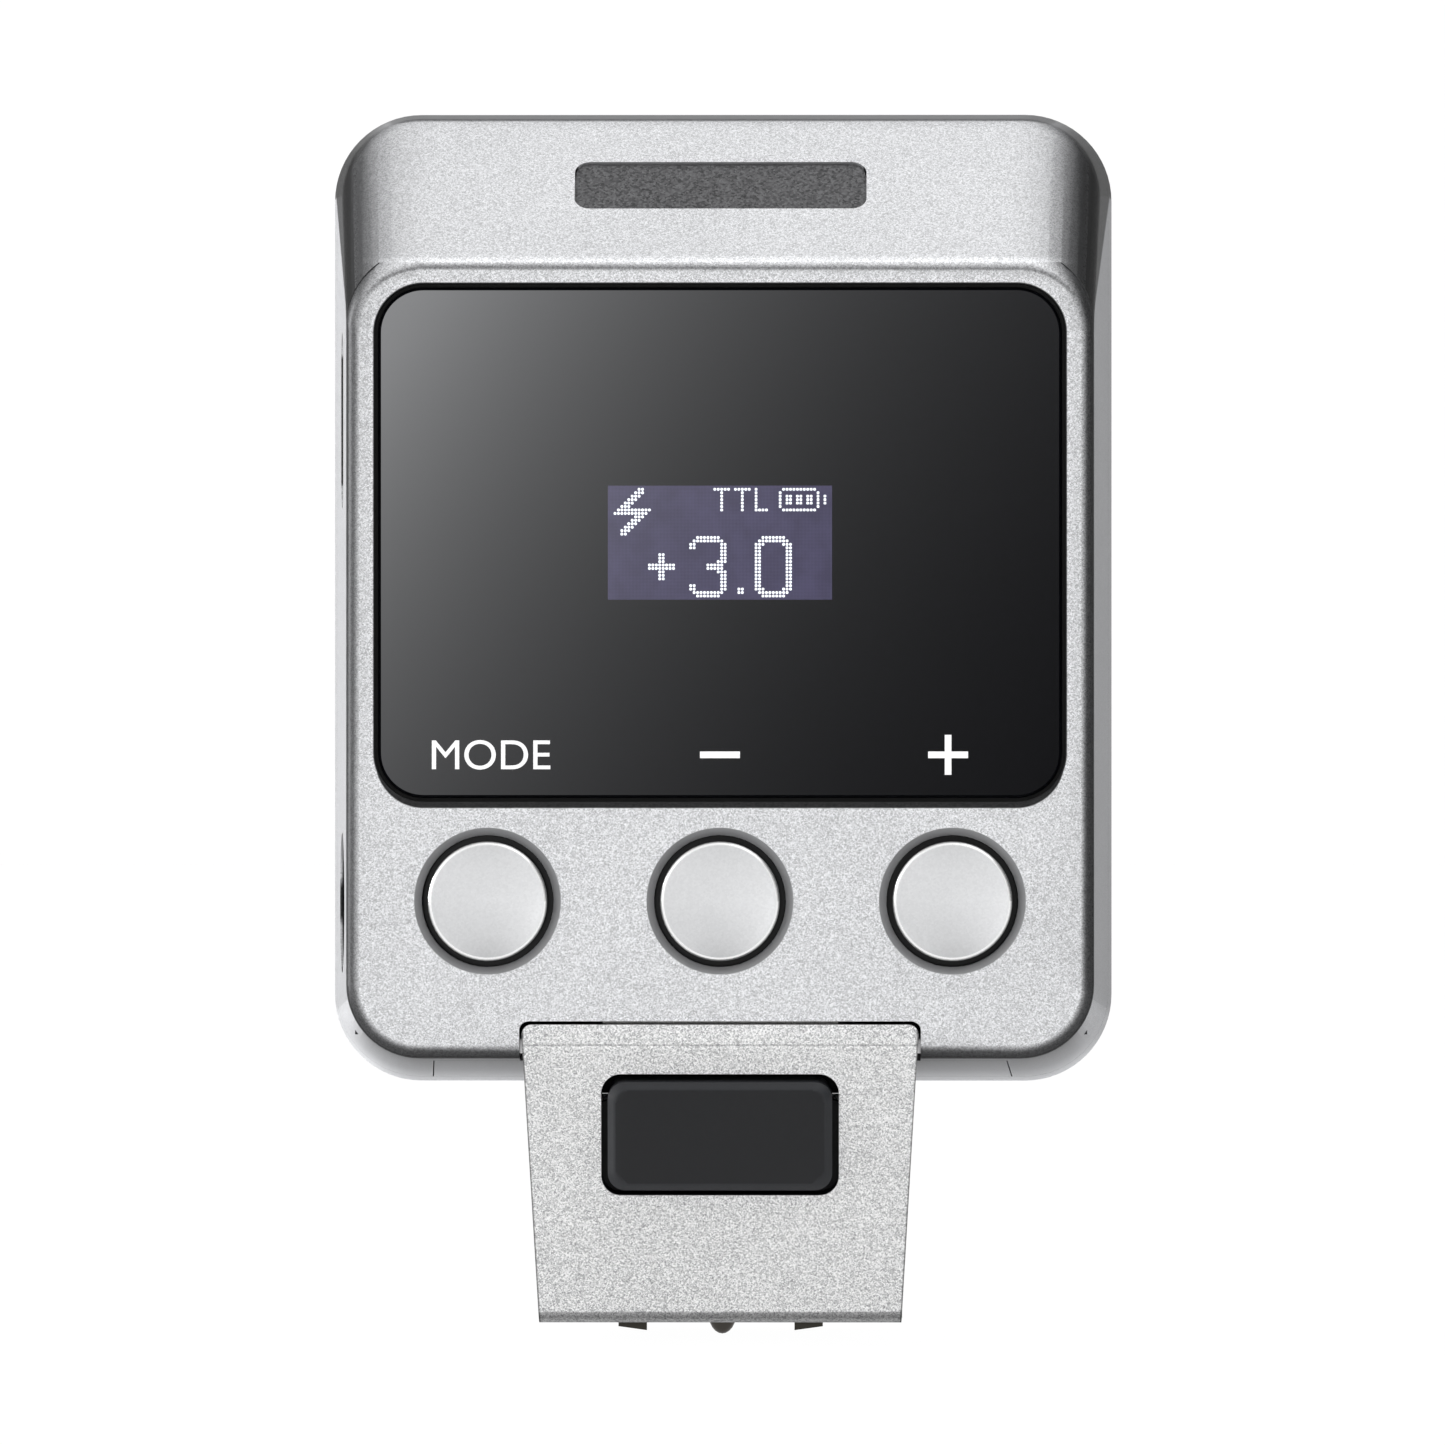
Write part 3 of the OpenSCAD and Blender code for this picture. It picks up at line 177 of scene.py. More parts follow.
class Nodes:
    """A node tree and the sums that it is built from."""

    def __init__(self, tree, place):
        self.tree = tree
        self.tree.nodes.clear()
        self.coords = self.add("ShaderNodeTexCoord")
        self.place = self.coords.outputs[place]

    def add(self, kind, **values):
        node = self.tree.nodes.new(kind)
        for key, value in values.items():
            setattr(node, key, value)
        return node

    def join(self, source, target):
        self.tree.links.new(source, target)

    def feed(self, socket, value):
        """Links a socket or writes a plain number or colour into it."""
        if isinstance(value, bpy.types.NodeSocket):
            self.join(value, socket)
        else:
            socket.default_value = value

    def sums(self, operation, first, second=0.0, third=None, clamp=False):
        node = self.add("ShaderNodeMath", operation=operation, use_clamp=clamp)
        self.feed(node.inputs[0], first)
        self.feed(node.inputs[1], second)
        if third is not None:
            self.feed(node.inputs[2], third)
        return node.outputs[0]

    def times(self, first, second):
        return self.sums("MULTIPLY", first, second)

    def minus(self, first, second):
        return self.sums("SUBTRACT", first, second)

    def amount(self, value):
        return self.sums("ABSOLUTE", value)

    def spread(self, value, low, high, to_low=0.0, to_high=1.0, smooth=False):
        """Maps a range of a value to another range, and stops at its ends."""
        node = self.add(
            "ShaderNodeMapRange",
            interpolation_type="SMOOTHSTEP" if smooth else "LINEAR",
        )
        self.feed(node.inputs["Value"], value)
        node.inputs["From Min"].default_value = low
        node.inputs["From Max"].default_value = high
        node.inputs["To Min"].default_value = to_low
        node.inputs["To Max"].default_value = to_high
        return node.outputs["Result"]

    def parts(self, vector=None):
        """X, Y and Z of the place, or of another vector."""
        node = self.add("ShaderNodeSeparateXYZ")
        self.join(vector or self.place, node.inputs["Vector"])
        return node.outputs["X"], node.outputs["Y"], node.outputs["Z"]


class Finish(Nodes):
    """One material, built up node by node round a Principled shader."""

    def __init__(self, name, colour, roughness, metallic=0.0, **sockets):
        self.material = bpy.data.materials.new(name)
        self.material.use_nodes = True
        super().__init__(self.material.node_tree, "Object")
        self.shader = self.add("ShaderNodeBsdfPrincipled")
        output = self.add("ShaderNodeOutputMaterial")
        self.join(self.shader.outputs["BSDF"], output.inputs["Surface"])
        self.shader.inputs["Base Color"].default_value = (*colour, 1)
        self.shader.inputs["Roughness"].default_value = roughness
        self.shader.inputs["Metallic"].default_value = metallic
        for socket, value in sockets.items():
            self.shader.inputs[socket.replace("_", " ")].default_value = value
        self.colour = colour
        self.normal = self.coords.outputs["Normal"]
        self.height = None

    def stretched(self, scale, turn=(0, 0, 0), move=(0, 0, 0)):
        """Object coordinates stretched, turned and moved."""
        node = self.add("ShaderNodeMapping")
        self.join(self.place, node.inputs["Vector"])
        node.inputs["Scale"].default_value = scale
        node.inputs["Rotation"].default_value = turn
        node.inputs["Location"].default_value = move
        return node.outputs["Vector"]

    def noise(self, scale, detail=3.0, roughness=0.55, vector=None):
        node = self.add("ShaderNodeTexNoise")
        self.join(vector or self.place, node.inputs["Vector"])
        node.inputs["Scale"].default_value = scale
        node.inputs["Detail"].default_value = detail
        node.inputs["Roughness"].default_value = roughness
        return node.outputs["Fac"]

    def flakes(self, scale, vector=None):
        """A random value for each small cell."""
        node = self.add("ShaderNodeTexVoronoi")
        self.join(vector or self.place, node.inputs["Vector"])
        node.inputs["Scale"].default_value = scale
        split = self.add("ShaderNodeSeparateColor")
        self.join(node.outputs["Color"], split.inputs["Color"])
        return split.outputs["Red"]

    def blend(self, factor, first, second, mode="MIX"):
        node = self.add("ShaderNodeMix", data_type="RGBA", blend_type=mode)
        self.feed(node.inputs["Factor"], factor)
        for socket, value in ((node.inputs[6], first), (node.inputs[7], second)):
            if isinstance(value, bpy.types.NodeSocket):
                self.join(value, socket)
            else:
                socket.default_value = (*value, 1)
        return node.outputs[2]

    def steps(self, value, stops):
        """A grey that follows a list of (value, level) pairs, straight between them."""
        node = self.add("ShaderNodeValToRGB")
        self.join(value, node.inputs["Fac"])
        marks = node.color_ramp.elements
        while len(marks) < len(stops):
            marks.new(0.5)
        for mark, (place, level) in zip(marks, stops):
            mark.position = place
            mark.color = (level, level, level, 1)
        return node.outputs["Color"]

    def shaded(self, factor, low, high):
        """The base colour times a number that runs from low to high."""
        dark = tuple(min(1.0, c * low) for c in self.colour)
        light = tuple(min(1.0, c * high) for c in self.colour)
        return self.blend(factor, dark, light)

    def set_colour(self, value):
        self.join(value, self.shader.inputs["Base Color"])

    def colour_so_far(self):
        return self.shader.inputs["Base Color"].links[0].from_socket

    def set_roughness(self, value):
        self.join(value, self.shader.inputs["Roughness"])

    def raise_surface(self, height, distance, strength=1.0):
        """Adds a bump of a real height in metres; calls stack."""
        node = self.add("ShaderNodeBump")
        node.inputs["Strength"].default_value = strength
        node.inputs["Distance"].default_value = distance
        self.join(height, node.inputs["Height"])
        if self.height is not None:
            self.join(self.height, node.inputs["Normal"])
        self.height = node.outputs["Normal"]
        self.join(self.height, self.shader.inputs["Normal"])


def metallic_paint(
    name, colour, grain, contrast, metallic=0.62, roughness=0.42, bump=1.0, bright=0.0
):
    """Satin paint with metal flakes of a size in metres; bright favours the light ones."""
    finish = Finish(name, colour, roughness, metallic, Specular_IOR_Level=0.25)
    finish.shader.inputs["Specular Tint"].default_value = (0.12, 0.12, 0.13, 1)
    flake = finish.flakes(1 / grain)
    cloud = finish.noise(1 / (grain * 2.2), 2.0)
    mixed = finish.sums("MULTIPLY_ADD", flake, 0.6, finish.times(cloud, 0.4))
    drift = finish.noise(90.0, 2.0)
    toned = finish.sums("ADD", mixed, finish.times(drift, 0.12))
    finish.set_colour(
        finish.shaded(
            finish.spread(toned, 0.22 - bright, 0.9 - bright), 1 - contrast, 1 + contrast
        )
    )
    finish.set_roughness(finish.spread(flake, 0.0, 1.0, roughness - 0.07, roughness + 0.07))
    finish.raise_surface(finish.noise(1 / (grain * 1.4), 3.0), grain * 0.05 * bump, 0.6)
    return finish


def paint_rim_shade(finish, stops, flat_walls=False):
    """Painted shade where a shell turns away to the sides and down, and on its crest.

    With flat_walls the side walls stay plain and only their upper corners deepen.
    """
    across, _, up = finish.parts(finish.normal)
    below = finish.sums("MINIMUM", up, 0.0)
    above = finish.sums("MAXIMUM", up, 0.0)
    square = finish.times(across, across)
    if not flat_walls:
        square = finish.sums("MULTIPLY_ADD", below, below, square)
    plain = finish.sums("SQRT", square)
    slanted = finish.spread(above, 0.0, 0.7)
    turned = finish.sums(
        "ADD",
        finish.times(square, slanted),
        finish.times(plain, finish.minus(1.0, slanted)),
    )
    if flat_walls:
        turned = finish.times(turned, finish.spread(above, 0.01, 0.07))
    else:
        crest = finish.times(
            finish.spread(above, 0.02, 0.2, 0.0, 0.27, smooth=True),
            finish.spread(above, 0.24, 0.55, 1.0, 0.0),
        )
        turned = finish.sums("MAXIMUM", turned, crest)
    deepen(finish, finish.steps(turned, stops))


def deepen(finish, tone):
    """Multiplies the base colour by a tone."""
    base = finish.colour_so_far()
    finish.set_colour(finish.blend(1.0, base, tone, "MULTIPLY"))


# Grain of the silver paints, and how near vertices of a shell's copy are joined
PAINT_GRAIN = 0.055 * MM
JOIN_DISTANCE = 0.0004 * MM
SHARP_FROM = radians(32)


def near_axis(finish, x, z, radius, soft):
    """1 within a distance of an axis that runs along Y, 0 outside."""
    across, _, up = finish.parts()
    dx = finish.minus(across, x)
    dz = finish.minus(up, z)
    square = finish.sums("ADD", finish.times(dx, dx), finish.times(dz, dz))
    return finish.spread(
        finish.sums("SQRT", square), radius - soft, radius + soft, 1.0, 0.0
    )


# ------------------------------------------------------------------ pieces

NODE_BODY = {
    node: body
    for body, nodes in frame["record"]["behaviour"]["bodies"].items()
    for node in nodes
}


def colours():
    return bpy.context.scene.trigger_colours


def sizes():
    return bpy.context.scene.trigger_sizes


def finish_node(node, finish):
    """Gives a CAD node its material."""
    shown = frame["nodes"][node]
    shown.data.materials.clear()
    shown.data.materials.append(finish.material)


def made_object(name, shape, finish):
    """Turns a bmesh into an object with a material."""
    mesh = bpy.data.meshes.new(name)
    shape.to_mesh(mesh)
    shape.free()
    mesh.materials.append(finish.material)
    made = bpy.data.objects.new(name, mesh)
    bpy.context.scene.collection.objects.link(made)
    return made


def stage_piece(name, shape, finish):
    """Makes a piece of the stage from a bmesh."""
    piece = made_object(name, shape, finish)
    return piece


def new_piece(name, shape, finish, body):
    """Makes a piece from a bmesh; it rides on a body."""
    piece = made_object(name, shape, finish)
    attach(piece, body)
    return piece


def smooth_below(shape, angle):
    """Smooths the faces and keeps the edges that are sharper than an angle."""
    for face in shape.faces:
        face.smooth = True
    for edge in shape.edges:
        edge.smooth = edge.calc_face_angle(pi) < angle


def smooth_node(node, finish, name=None, angle=SHARP_FROM):
    """Stands a merged copy with smooth fillets in for a CAD node of many facets."""
    shape = bmesh.new()
    shape.from_mesh(frame["nodes"][node].data)
    bmesh.ops.remove_doubles(shape, verts=shape.verts, dist=JOIN_DISTANCE)
    smooth_below(shape, angle)
    piece = new_piece(
        name or node + "_shell", shape, finish, NODE_BODY[node]
    )
    even = piece.modifiers.new("Even normals", "WEIGHTED_NORMAL")
    even.keep_sharp = True
    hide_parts(node)
    return piece


class TRIGGER_OT_stage(Operator):
    """Sets up the camera, the lamps, the pale floor and the backdrop"""

    bl_idname = "trigger.stage"
    bl_label = "Stage"

    def execute(self, context):
        scene = context.scene
        scene.view_settings.view_transform = "Standard"
        self.place_camera(scene)
        self.light_world(scene)
        self.place_lamps(scene)
        self.lay_floor()
        return {"FINISHED"}

    def place_camera(self, scene):
        data = bpy.data.cameras.new("studio_camera")
        data.sensor_width = 36.0
        data.lens = 294.4
        data.clip_start = 0.05
        data.clip_end = 20.0
        camera = bpy.data.objects.new("studio_camera", data)
        scene.collection.objects.link(camera)
        eye_level = COVER_LOW.z + 17.07 * MM
        camera.location = (5.0 * MM, -615.0 * MM, eye_level)
        target = Vector((0.13 * MM, -15.2 * MM, eye_level))
        camera.rotation_euler = (
            (target - camera.location).to_track_quat("-Z", "Y").to_euler()
        )
        scene.camera = camera

    def light_world(self, scene):
        """A soft white room: open in front and above, quieter at the sides."""
        world = bpy.data.worlds.new("studio_room")
        world.use_nodes = True
        scene.world = world
        room = Nodes(world.node_tree, "Generated")
        x, y, z = room.parts()
        total = room.sums("ADD", room.spread(y, -0.35, -0.95, 0, 1.04, True), 0.19)
        for axis, low, high, level in (
            (z, 0.45, 0.97, 1.1),
            (x, -0.3, -0.95, 2.6),
            (y, 0.4, 0.95, 0.35),
        ):
            lobe = room.spread(axis, low, high, 0, level, smooth=True)
            total = room.sums("ADD", total, lobe)
        light = room.add("ShaderNodeBackground")
        room.join(total, light.inputs["Strength"])
        white = room.add("ShaderNodeBackground")
        white.inputs["Strength"].default_value = 1.0
        path = room.add("ShaderNodeLightPath")
        mix = room.add("ShaderNodeMixShader")
        output = room.add("ShaderNodeOutputWorld")
        room.join(path.outputs["Is Camera Ray"], mix.inputs["Fac"])
        room.join(light.outputs["Background"], mix.inputs[1])
        room.join(white.outputs["Background"], mix.inputs[2])
        room.join(mix.outputs["Shader"], output.inputs["Surface"])

    def place_lamps(self, scene):
        """A wide lamp overhead, a smaller one at the left and a soft card in front."""
        for name, place, size, power in (
            ("top_softbox", (0.27, -0.2, 0.53), 0.5, 0.85),
            ("left_softbox", (-0.55, 0.1, 0.14), 0.25, 3.2),
        ):
            data = bpy.data.lights.new(name, "AREA")
            data.shape = "SQUARE"
            data.size = size
            data.energy = power
            lamp = bpy.data.objects.new(name, data)
            scene.collection.objects.link(lamp)
            lamp.location = place
            aim = Vector((0, 0, 0.035)) - lamp.location
            lamp.rotation_euler = aim.to_track_quat("-Z", "Y").to_euler()
        self.hang_card()

    def hang_card(self):
        """Soft card beside the camera, brightest at its upper left corner."""
        shape = bmesh.new()
        bmesh.ops.create_grid(shape, x_segments=1, y_segments=1, size=0.5)
        bmesh.ops.scale(shape, vec=(0.1, 0.075, 1), verts=shape.verts)
        bmesh.ops.rotate(shape, cent=(0, 0, 0), matrix=UPRIGHT, verts=shape.verts)
        bmesh.ops.translate(shape, vec=(0, -0.6, 0.048), verts=shape.verts)
        finish = Finish("soft_card", (0, 0, 0), 1.0)
        across, _, up = finish.parts()
        slope = finish.sums(
            "ADD",
            finish.times(finish.sums("ADD", across, 0.0349), -39.4),
            finish.times(finish.minus(up, 0.0728), 26.6),
        )
        level = finish.times(finish.sums("POWER", 2.718, slope), 4.4)
        finish.shader.inputs["Emission Color"].default_value = (0.97, 0.98, 1, 1)
        finish.join(
            finish.sums("MINIMUM", level, 4.6), finish.shader.inputs["Emission Strength"]
        )
        card = stage_piece("soft_card", shape, finish)
        card.visible_camera = False
        card.visible_diffuse = False
        card.visible_shadow = False
        card.visible_transmission = False

    def lay_floor(self):
        """One pale sheet: a floor under the foot's contacts that turns up behind."""
        ground = CAD_BOX[0].z * CONTACT_STRETCH - 0.02 * MM
        shape = bmesh.new()
        near = [shape.verts.new((x, -3.0, ground)) for x in (-4.0, 4.0)]
        edge = shape.edges.new(near)
        path = [(2.0, ground)]
        for step in range(9):
            turn = pi / 2 * step / 8
            path.append((2.0 + sin(turn) * 1.0, ground + (1 - cos(turn)) * 1.0))
        path.append((3.0, 5.0))
        last = [edge]
        here = (-3.0, ground)
        for y, z in path:
            made = bmesh.ops.extrude_edge_only(shape, edges=last)
            moved = [v for v in made["geom"] if isinstance(v, bmesh.types.BMVert)]
            bmesh.ops.translate(shape, vec=(0, y - here[0], z - here[1]), verts=moved)
            last = [e for e in made["geom"] if isinstance(e, bmesh.types.BMEdge)]
            here = (y, z)
        bmesh.ops.recalc_face_normals(shape, faces=shape.faces)
        for face in shape.faces:
            face.smooth = True
        finish = Finish("paper_sweep", (0.82, 0.82, 0.82), 0.9)
        glow = finish.add("ShaderNodeEmission")
        glow.inputs["Strength"].default_value = 1.02
        rays = finish.add("ShaderNodeLightPath").outputs
        direct = finish.sums("ADD", rays["Is Camera Ray"], rays["Is Glossy Ray"])
        seen = finish.sums("ADD", direct, rays["Is Transmission Ray"], clamp=True)
        mix = finish.add("ShaderNodeMixShader")
        finish.join(finish.times(seen, 0.97), mix.inputs["Fac"])
        finish.join(finish.shader.outputs["BSDF"], mix.inputs[1])
        finish.join(glow.outputs["Emission"], mix.inputs[2])
        output = next(n for n in finish.tree.nodes if n.type == "OUTPUT_MATERIAL")
        finish.join(mix.outputs["Shader"], output.inputs["Surface"])
        stage_piece("paper_sweep", shape, finish)


# Lit dots of the display, row by row: each pair is the first and last dot of a run
DOT_COLUMNS = 64
DOT_ROWS = 32
# The run through the letters and the bars of the battery sign
BATTERY_BARS = (
    *((32, 32), (38, 38), (42, 42), (49, 49), (51, 52)),
    *((54, 55), (57, 58), (60, 60), (62, 62)),
)
LIT_RUNS = {
    0: ((8, 9), (30, 34), (36, 40), (42, 42), (50, 59)),
    1: ((7, 9), (32, 32), (38, 38), (42, 42), (49, 49), (60, 60)),
    2: ((6, 8), *BATTERY_BARS),
    3: ((5, 7), *BATTERY_BARS),
    4: ((4, 6), *BATTERY_BARS),
    5: ((3, 5), (32, 32), (38, 38), (42, 42), (49, 49), (60, 60)),
    6: ((2, 11), (32, 32), (38, 38), (42, 45), (50, 59)),
    7: ((1, 10),),
    8: ((7, 9),),
    9: ((6, 8),),
    10: ((5, 7),),
    11: ((4, 6),),
    12: ((3, 5),),
    13: ((3, 4),),
    14: ((25, 31), (44, 50)),
    15: ((24, 32), (43, 51)),
    16: ((23, 24), (32, 33), (42, 44), (50, 52)),
    17: ((23, 24), (32, 33), (42, 43), (51, 52)),
    18: ((32, 33), (42, 43), (51, 52)),
    19: ((14, 15), (32, 33), (42, 43), (51, 52)),
    20: ((14, 15), (32, 33), (42, 43), (51, 52)),
    21: ((14, 15), (31, 33), (42, 43), (51, 52)),
    22: ((11, 18), (28, 32), (42, 43), (51, 52)),
    23: ((11, 18), (28, 32), (42, 43), (51, 52)),
    24: ((14, 15), (31, 33), (42, 43), (51, 52)),
    25: ((14, 15), (32, 33), (42, 43), (51, 52)),
    26: ((14, 15), (32, 33), (42, 43), (51, 52)),
    27: ((32, 33), (42, 43), (51, 52)),
    28: ((23, 24), (32, 33), (42, 43), (51, 52)),
    29: ((23, 24), (32, 33), (37, 38), (42, 44), (50, 52)),
    30: ((24, 32), (37, 38), (43, 51)),
    31: ((25, 31), (44, 50)),
}


def glass_panel(thickness_at, half_width, half_height, z):
    """A thin rectangle in front of the glass, facing the user."""
    shape = bmesh.new()
    bmesh.ops.create_cube(shape, size=1)
    bmesh.ops.scale(
        shape, vec=(2 * half_width, thickness_at, 2 * half_height), verts=shape.verts
    )
    bmesh.ops.translate(shape, vec=(0, GLASS_FACE - thickness_at / 2, z), verts=shape.verts)
    return shape


class TRIGGER_OT_display(Operator):
    """Finishes the glass and the display behind it, and lights the read-out"""

    bl_idname = "trigger.display"
    bl_label = "Display"

    def execute(self, context):
        self.finish_glass()
        self.make_field()
        self.make_dots()
        finish_node("glass_gasket", rubber("gasket_foam", (0.012, 0.012, 0.012)))
        finish_node("oled_holder", moulded("holder_plastic", (0.02, 0.02, 0.021)))
        finish_node("oled_panel", self.panel_finish())
        return {"FINISHED"}

    def finish_glass(self):
        finish = Finish(
            "window_glass",
            (0.0025, 0.0026, 0.0035),
            0.035,
            IOR=1.52,
            Coat_Weight=0.35,
            Coat_Roughness=0.02,
        )
        smears = finish.noise(160.0, 4.0, 0.6)
        finish.set_roughness(finish.spread(smears, 0.35, 0.75, 0.028, 0.05))
        dust = finish.noise(5200.0, 2.0)
        finish.set_colour(finish.shaded(finish.spread(dust, 0.45, 0.8), 0.92, 1.3))
        smooth_node("display_glass", finish, angle=radians(20))

    def panel_finish(self):
        finish = Finish("display_cell", (0.05, 0.05, 0.07), 0.12, Coat_Weight=0.5)
        rows = finish.add("ShaderNodeTexWave", bands_direction="Z")
        finish.join(finish.place, rows.inputs["Vector"])
        rows.inputs["Scale"].default_value = 300
        finish.set_colour(finish.shaded(rows.outputs["Fac"], 0.8, 1.25))
        return finish

    def make_field(self):
        pitch = sizes().dot_pitch
        margin = 0.1 * MM
        colour = tuple(colours().field)
        finish = Finish("display_field", colour, 0.05, IOR=1.52, Coat_Weight=0.3)
        across, _, up = finish.parts()
        lines = finish.sums(
            "ADD",
            finish.sums("SINE", finish.times(across, tau / pitch)),
            finish.sums("SINE", finish.times(up, tau / pitch)),
        )
        mottled = finish.noise(700.0, 3.0)
        tone = finish.sums(
            "ADD", finish.times(lines, 0.12), finish.spread(mottled, 0.3, 0.7)
        )
        finish.set_colour(finish.shaded(tone, 0.85, 1.15))
        shape = glass_panel(
            0.006 * MM,
            DOT_COLUMNS * pitch / 2 + margin,
            DOT_ROWS * pitch / 2 + margin,
            DISPLAY_MID.z,
        )
        new_piece("display_field", shape, finish, "head")

    def make_dots(self):
        pitch = sizes().dot_pitch
        radius = sizes().dot_width / 2
        thickness = 0.012 * MM
        shape = bmesh.new()
        for row, runs in LIT_RUNS.items():
            z = DISPLAY_MID.z + ((DOT_ROWS - 1) / 2 - row) * pitch
            for first, last in runs:
                for column in range(first, last + 1):
                    x = (column - (DOT_COLUMNS - 1) / 2) * pitch
                    place = Matrix.Translation((x, GLASS_FACE - thickness / 2, z))
                    bmesh.ops.create_cone(
                        shape,
                        cap_ends=True,
                        segments=10,
                        radius1=radius,
                        radius2=radius,
                        depth=thickness,
                        matrix=place @ UPRIGHT.to_4x4(),
                    )
        finish = Finish("lit_dots", (0.8, 0.82, 0.86), 0.2, Emission_Strength=0.55)
        finish.shader.inputs["Emission Color"].default_value = (0.86, 0.92, 0.98, 1)
        flicker = finish.flakes(1 / pitch)
        finish.set_colour(finish.shaded(flicker, 0.9, 1.05))
        new_piece("display_dots", shape, finish, "head")


def moulded(name, colour, grain=0.00022, roughness=0.5, depth=0.008 * MM):
    """Spark-textured moulded plastic."""
    finish = Finish(name, colour, roughness, Specular_IOR_Level=0.45)
    fine = finish.noise(1 / grain, 3.0, 0.6)
    broad = finish.noise(260.0, 2.0)
    finish.set_colour(
        finish.shaded(
            finish.sums("MULTIPLY_ADD", fine, 0.7, finish.times(broad, 0.3)),
            0.86,
            1.14,
        )
    )
    finish.set_roughness(finish.spread(fine, 0.3, 0.7, roughness - 0.06, roughness + 0.08))
    finish.raise_surface(fine, depth, 0.7)
    return finish


def rubber(name, colour):
    """Matte rubber or foam with a fine open grain."""
    finish = Finish(name, colour, 0.82, Specular_IOR_Level=0.25)
    grain = finish.noise(5200.0, 4.0, 0.65)
    finish.set_colour(finish.shaded(grain, 0.75, 1.25))
    finish.set_roughness(finish.spread(grain, 0.3, 0.7, 0.75, 0.9))
    finish.raise_surface(grain, 0.012 * MM, 0.8)
    return finish


def brushed(name, colour, stretch=(1, 1, 30), roughness=0.3, metallic=1.0):
    """Drawn or brushed metal; the long streaks run along the stretched-least axis."""
    finish = Finish(name, colour, roughness, metallic)
    streaks = finish.noise(900.0, 4.0, 0.6, finish.stretched(stretch))
    spots = finish.noise(1500.0, 3.0)
    finish.set_colour(
        finish.shaded(
            finish.sums("MULTIPLY_ADD", streaks, 0.65, finish.times(spots, 0.35)),
            0.85,
            1.12,
        )
    )
    finish.set_roughness(
        finish.spread(streaks, 0.3, 0.7, roughness - 0.08, roughness + 0.1)
    )
    finish.raise_surface(streaks, 0.004 * MM, 0.5)
    return finish


# Painted shade on the silver paint, against how far the shell has turned from the viewer
RIM_PAINTED_SHADE = (
    (0.0, 1.0),
    (0.05, 0.88),
    (0.14, 0.62),
    (0.29, 0.32),
    (0.43, 0.145),
    (0.57, 0.1),
    (0.86, 0.078),
    (1.0, 0.05),
)


# The line of the painted corner shade: its start below the fold, and its rise to the rear
CORNER_DROP = 2.75 * MM
CORNER_RISE = 0.38
# From the middle of the slanted panel, where its painted shade starts and ends to fall
PANEL_FALL = (14.2 * MM, 17.6 * MM)
# How far an opening in the left wall reaches past the piece in it
OPENING_MARGIN = 0.7 * MM
# The window's corner radius, and the width of the painted shade of its chamfer beside and below
# the glass
WINDOW_CORNER = 2.3 * MM
CHAMFER_SHADE_BESIDE = 0.29 * MM
CHAMFER_SHADE_MORE_BELOW = 0.26 * MM
# Radius of the chamfered rim of a round key's hole
KEY_HOLE_RADIUS = 3.73 * MM
# The gap between the cover and the housing
JOINT_GAP = 0.1 * MM


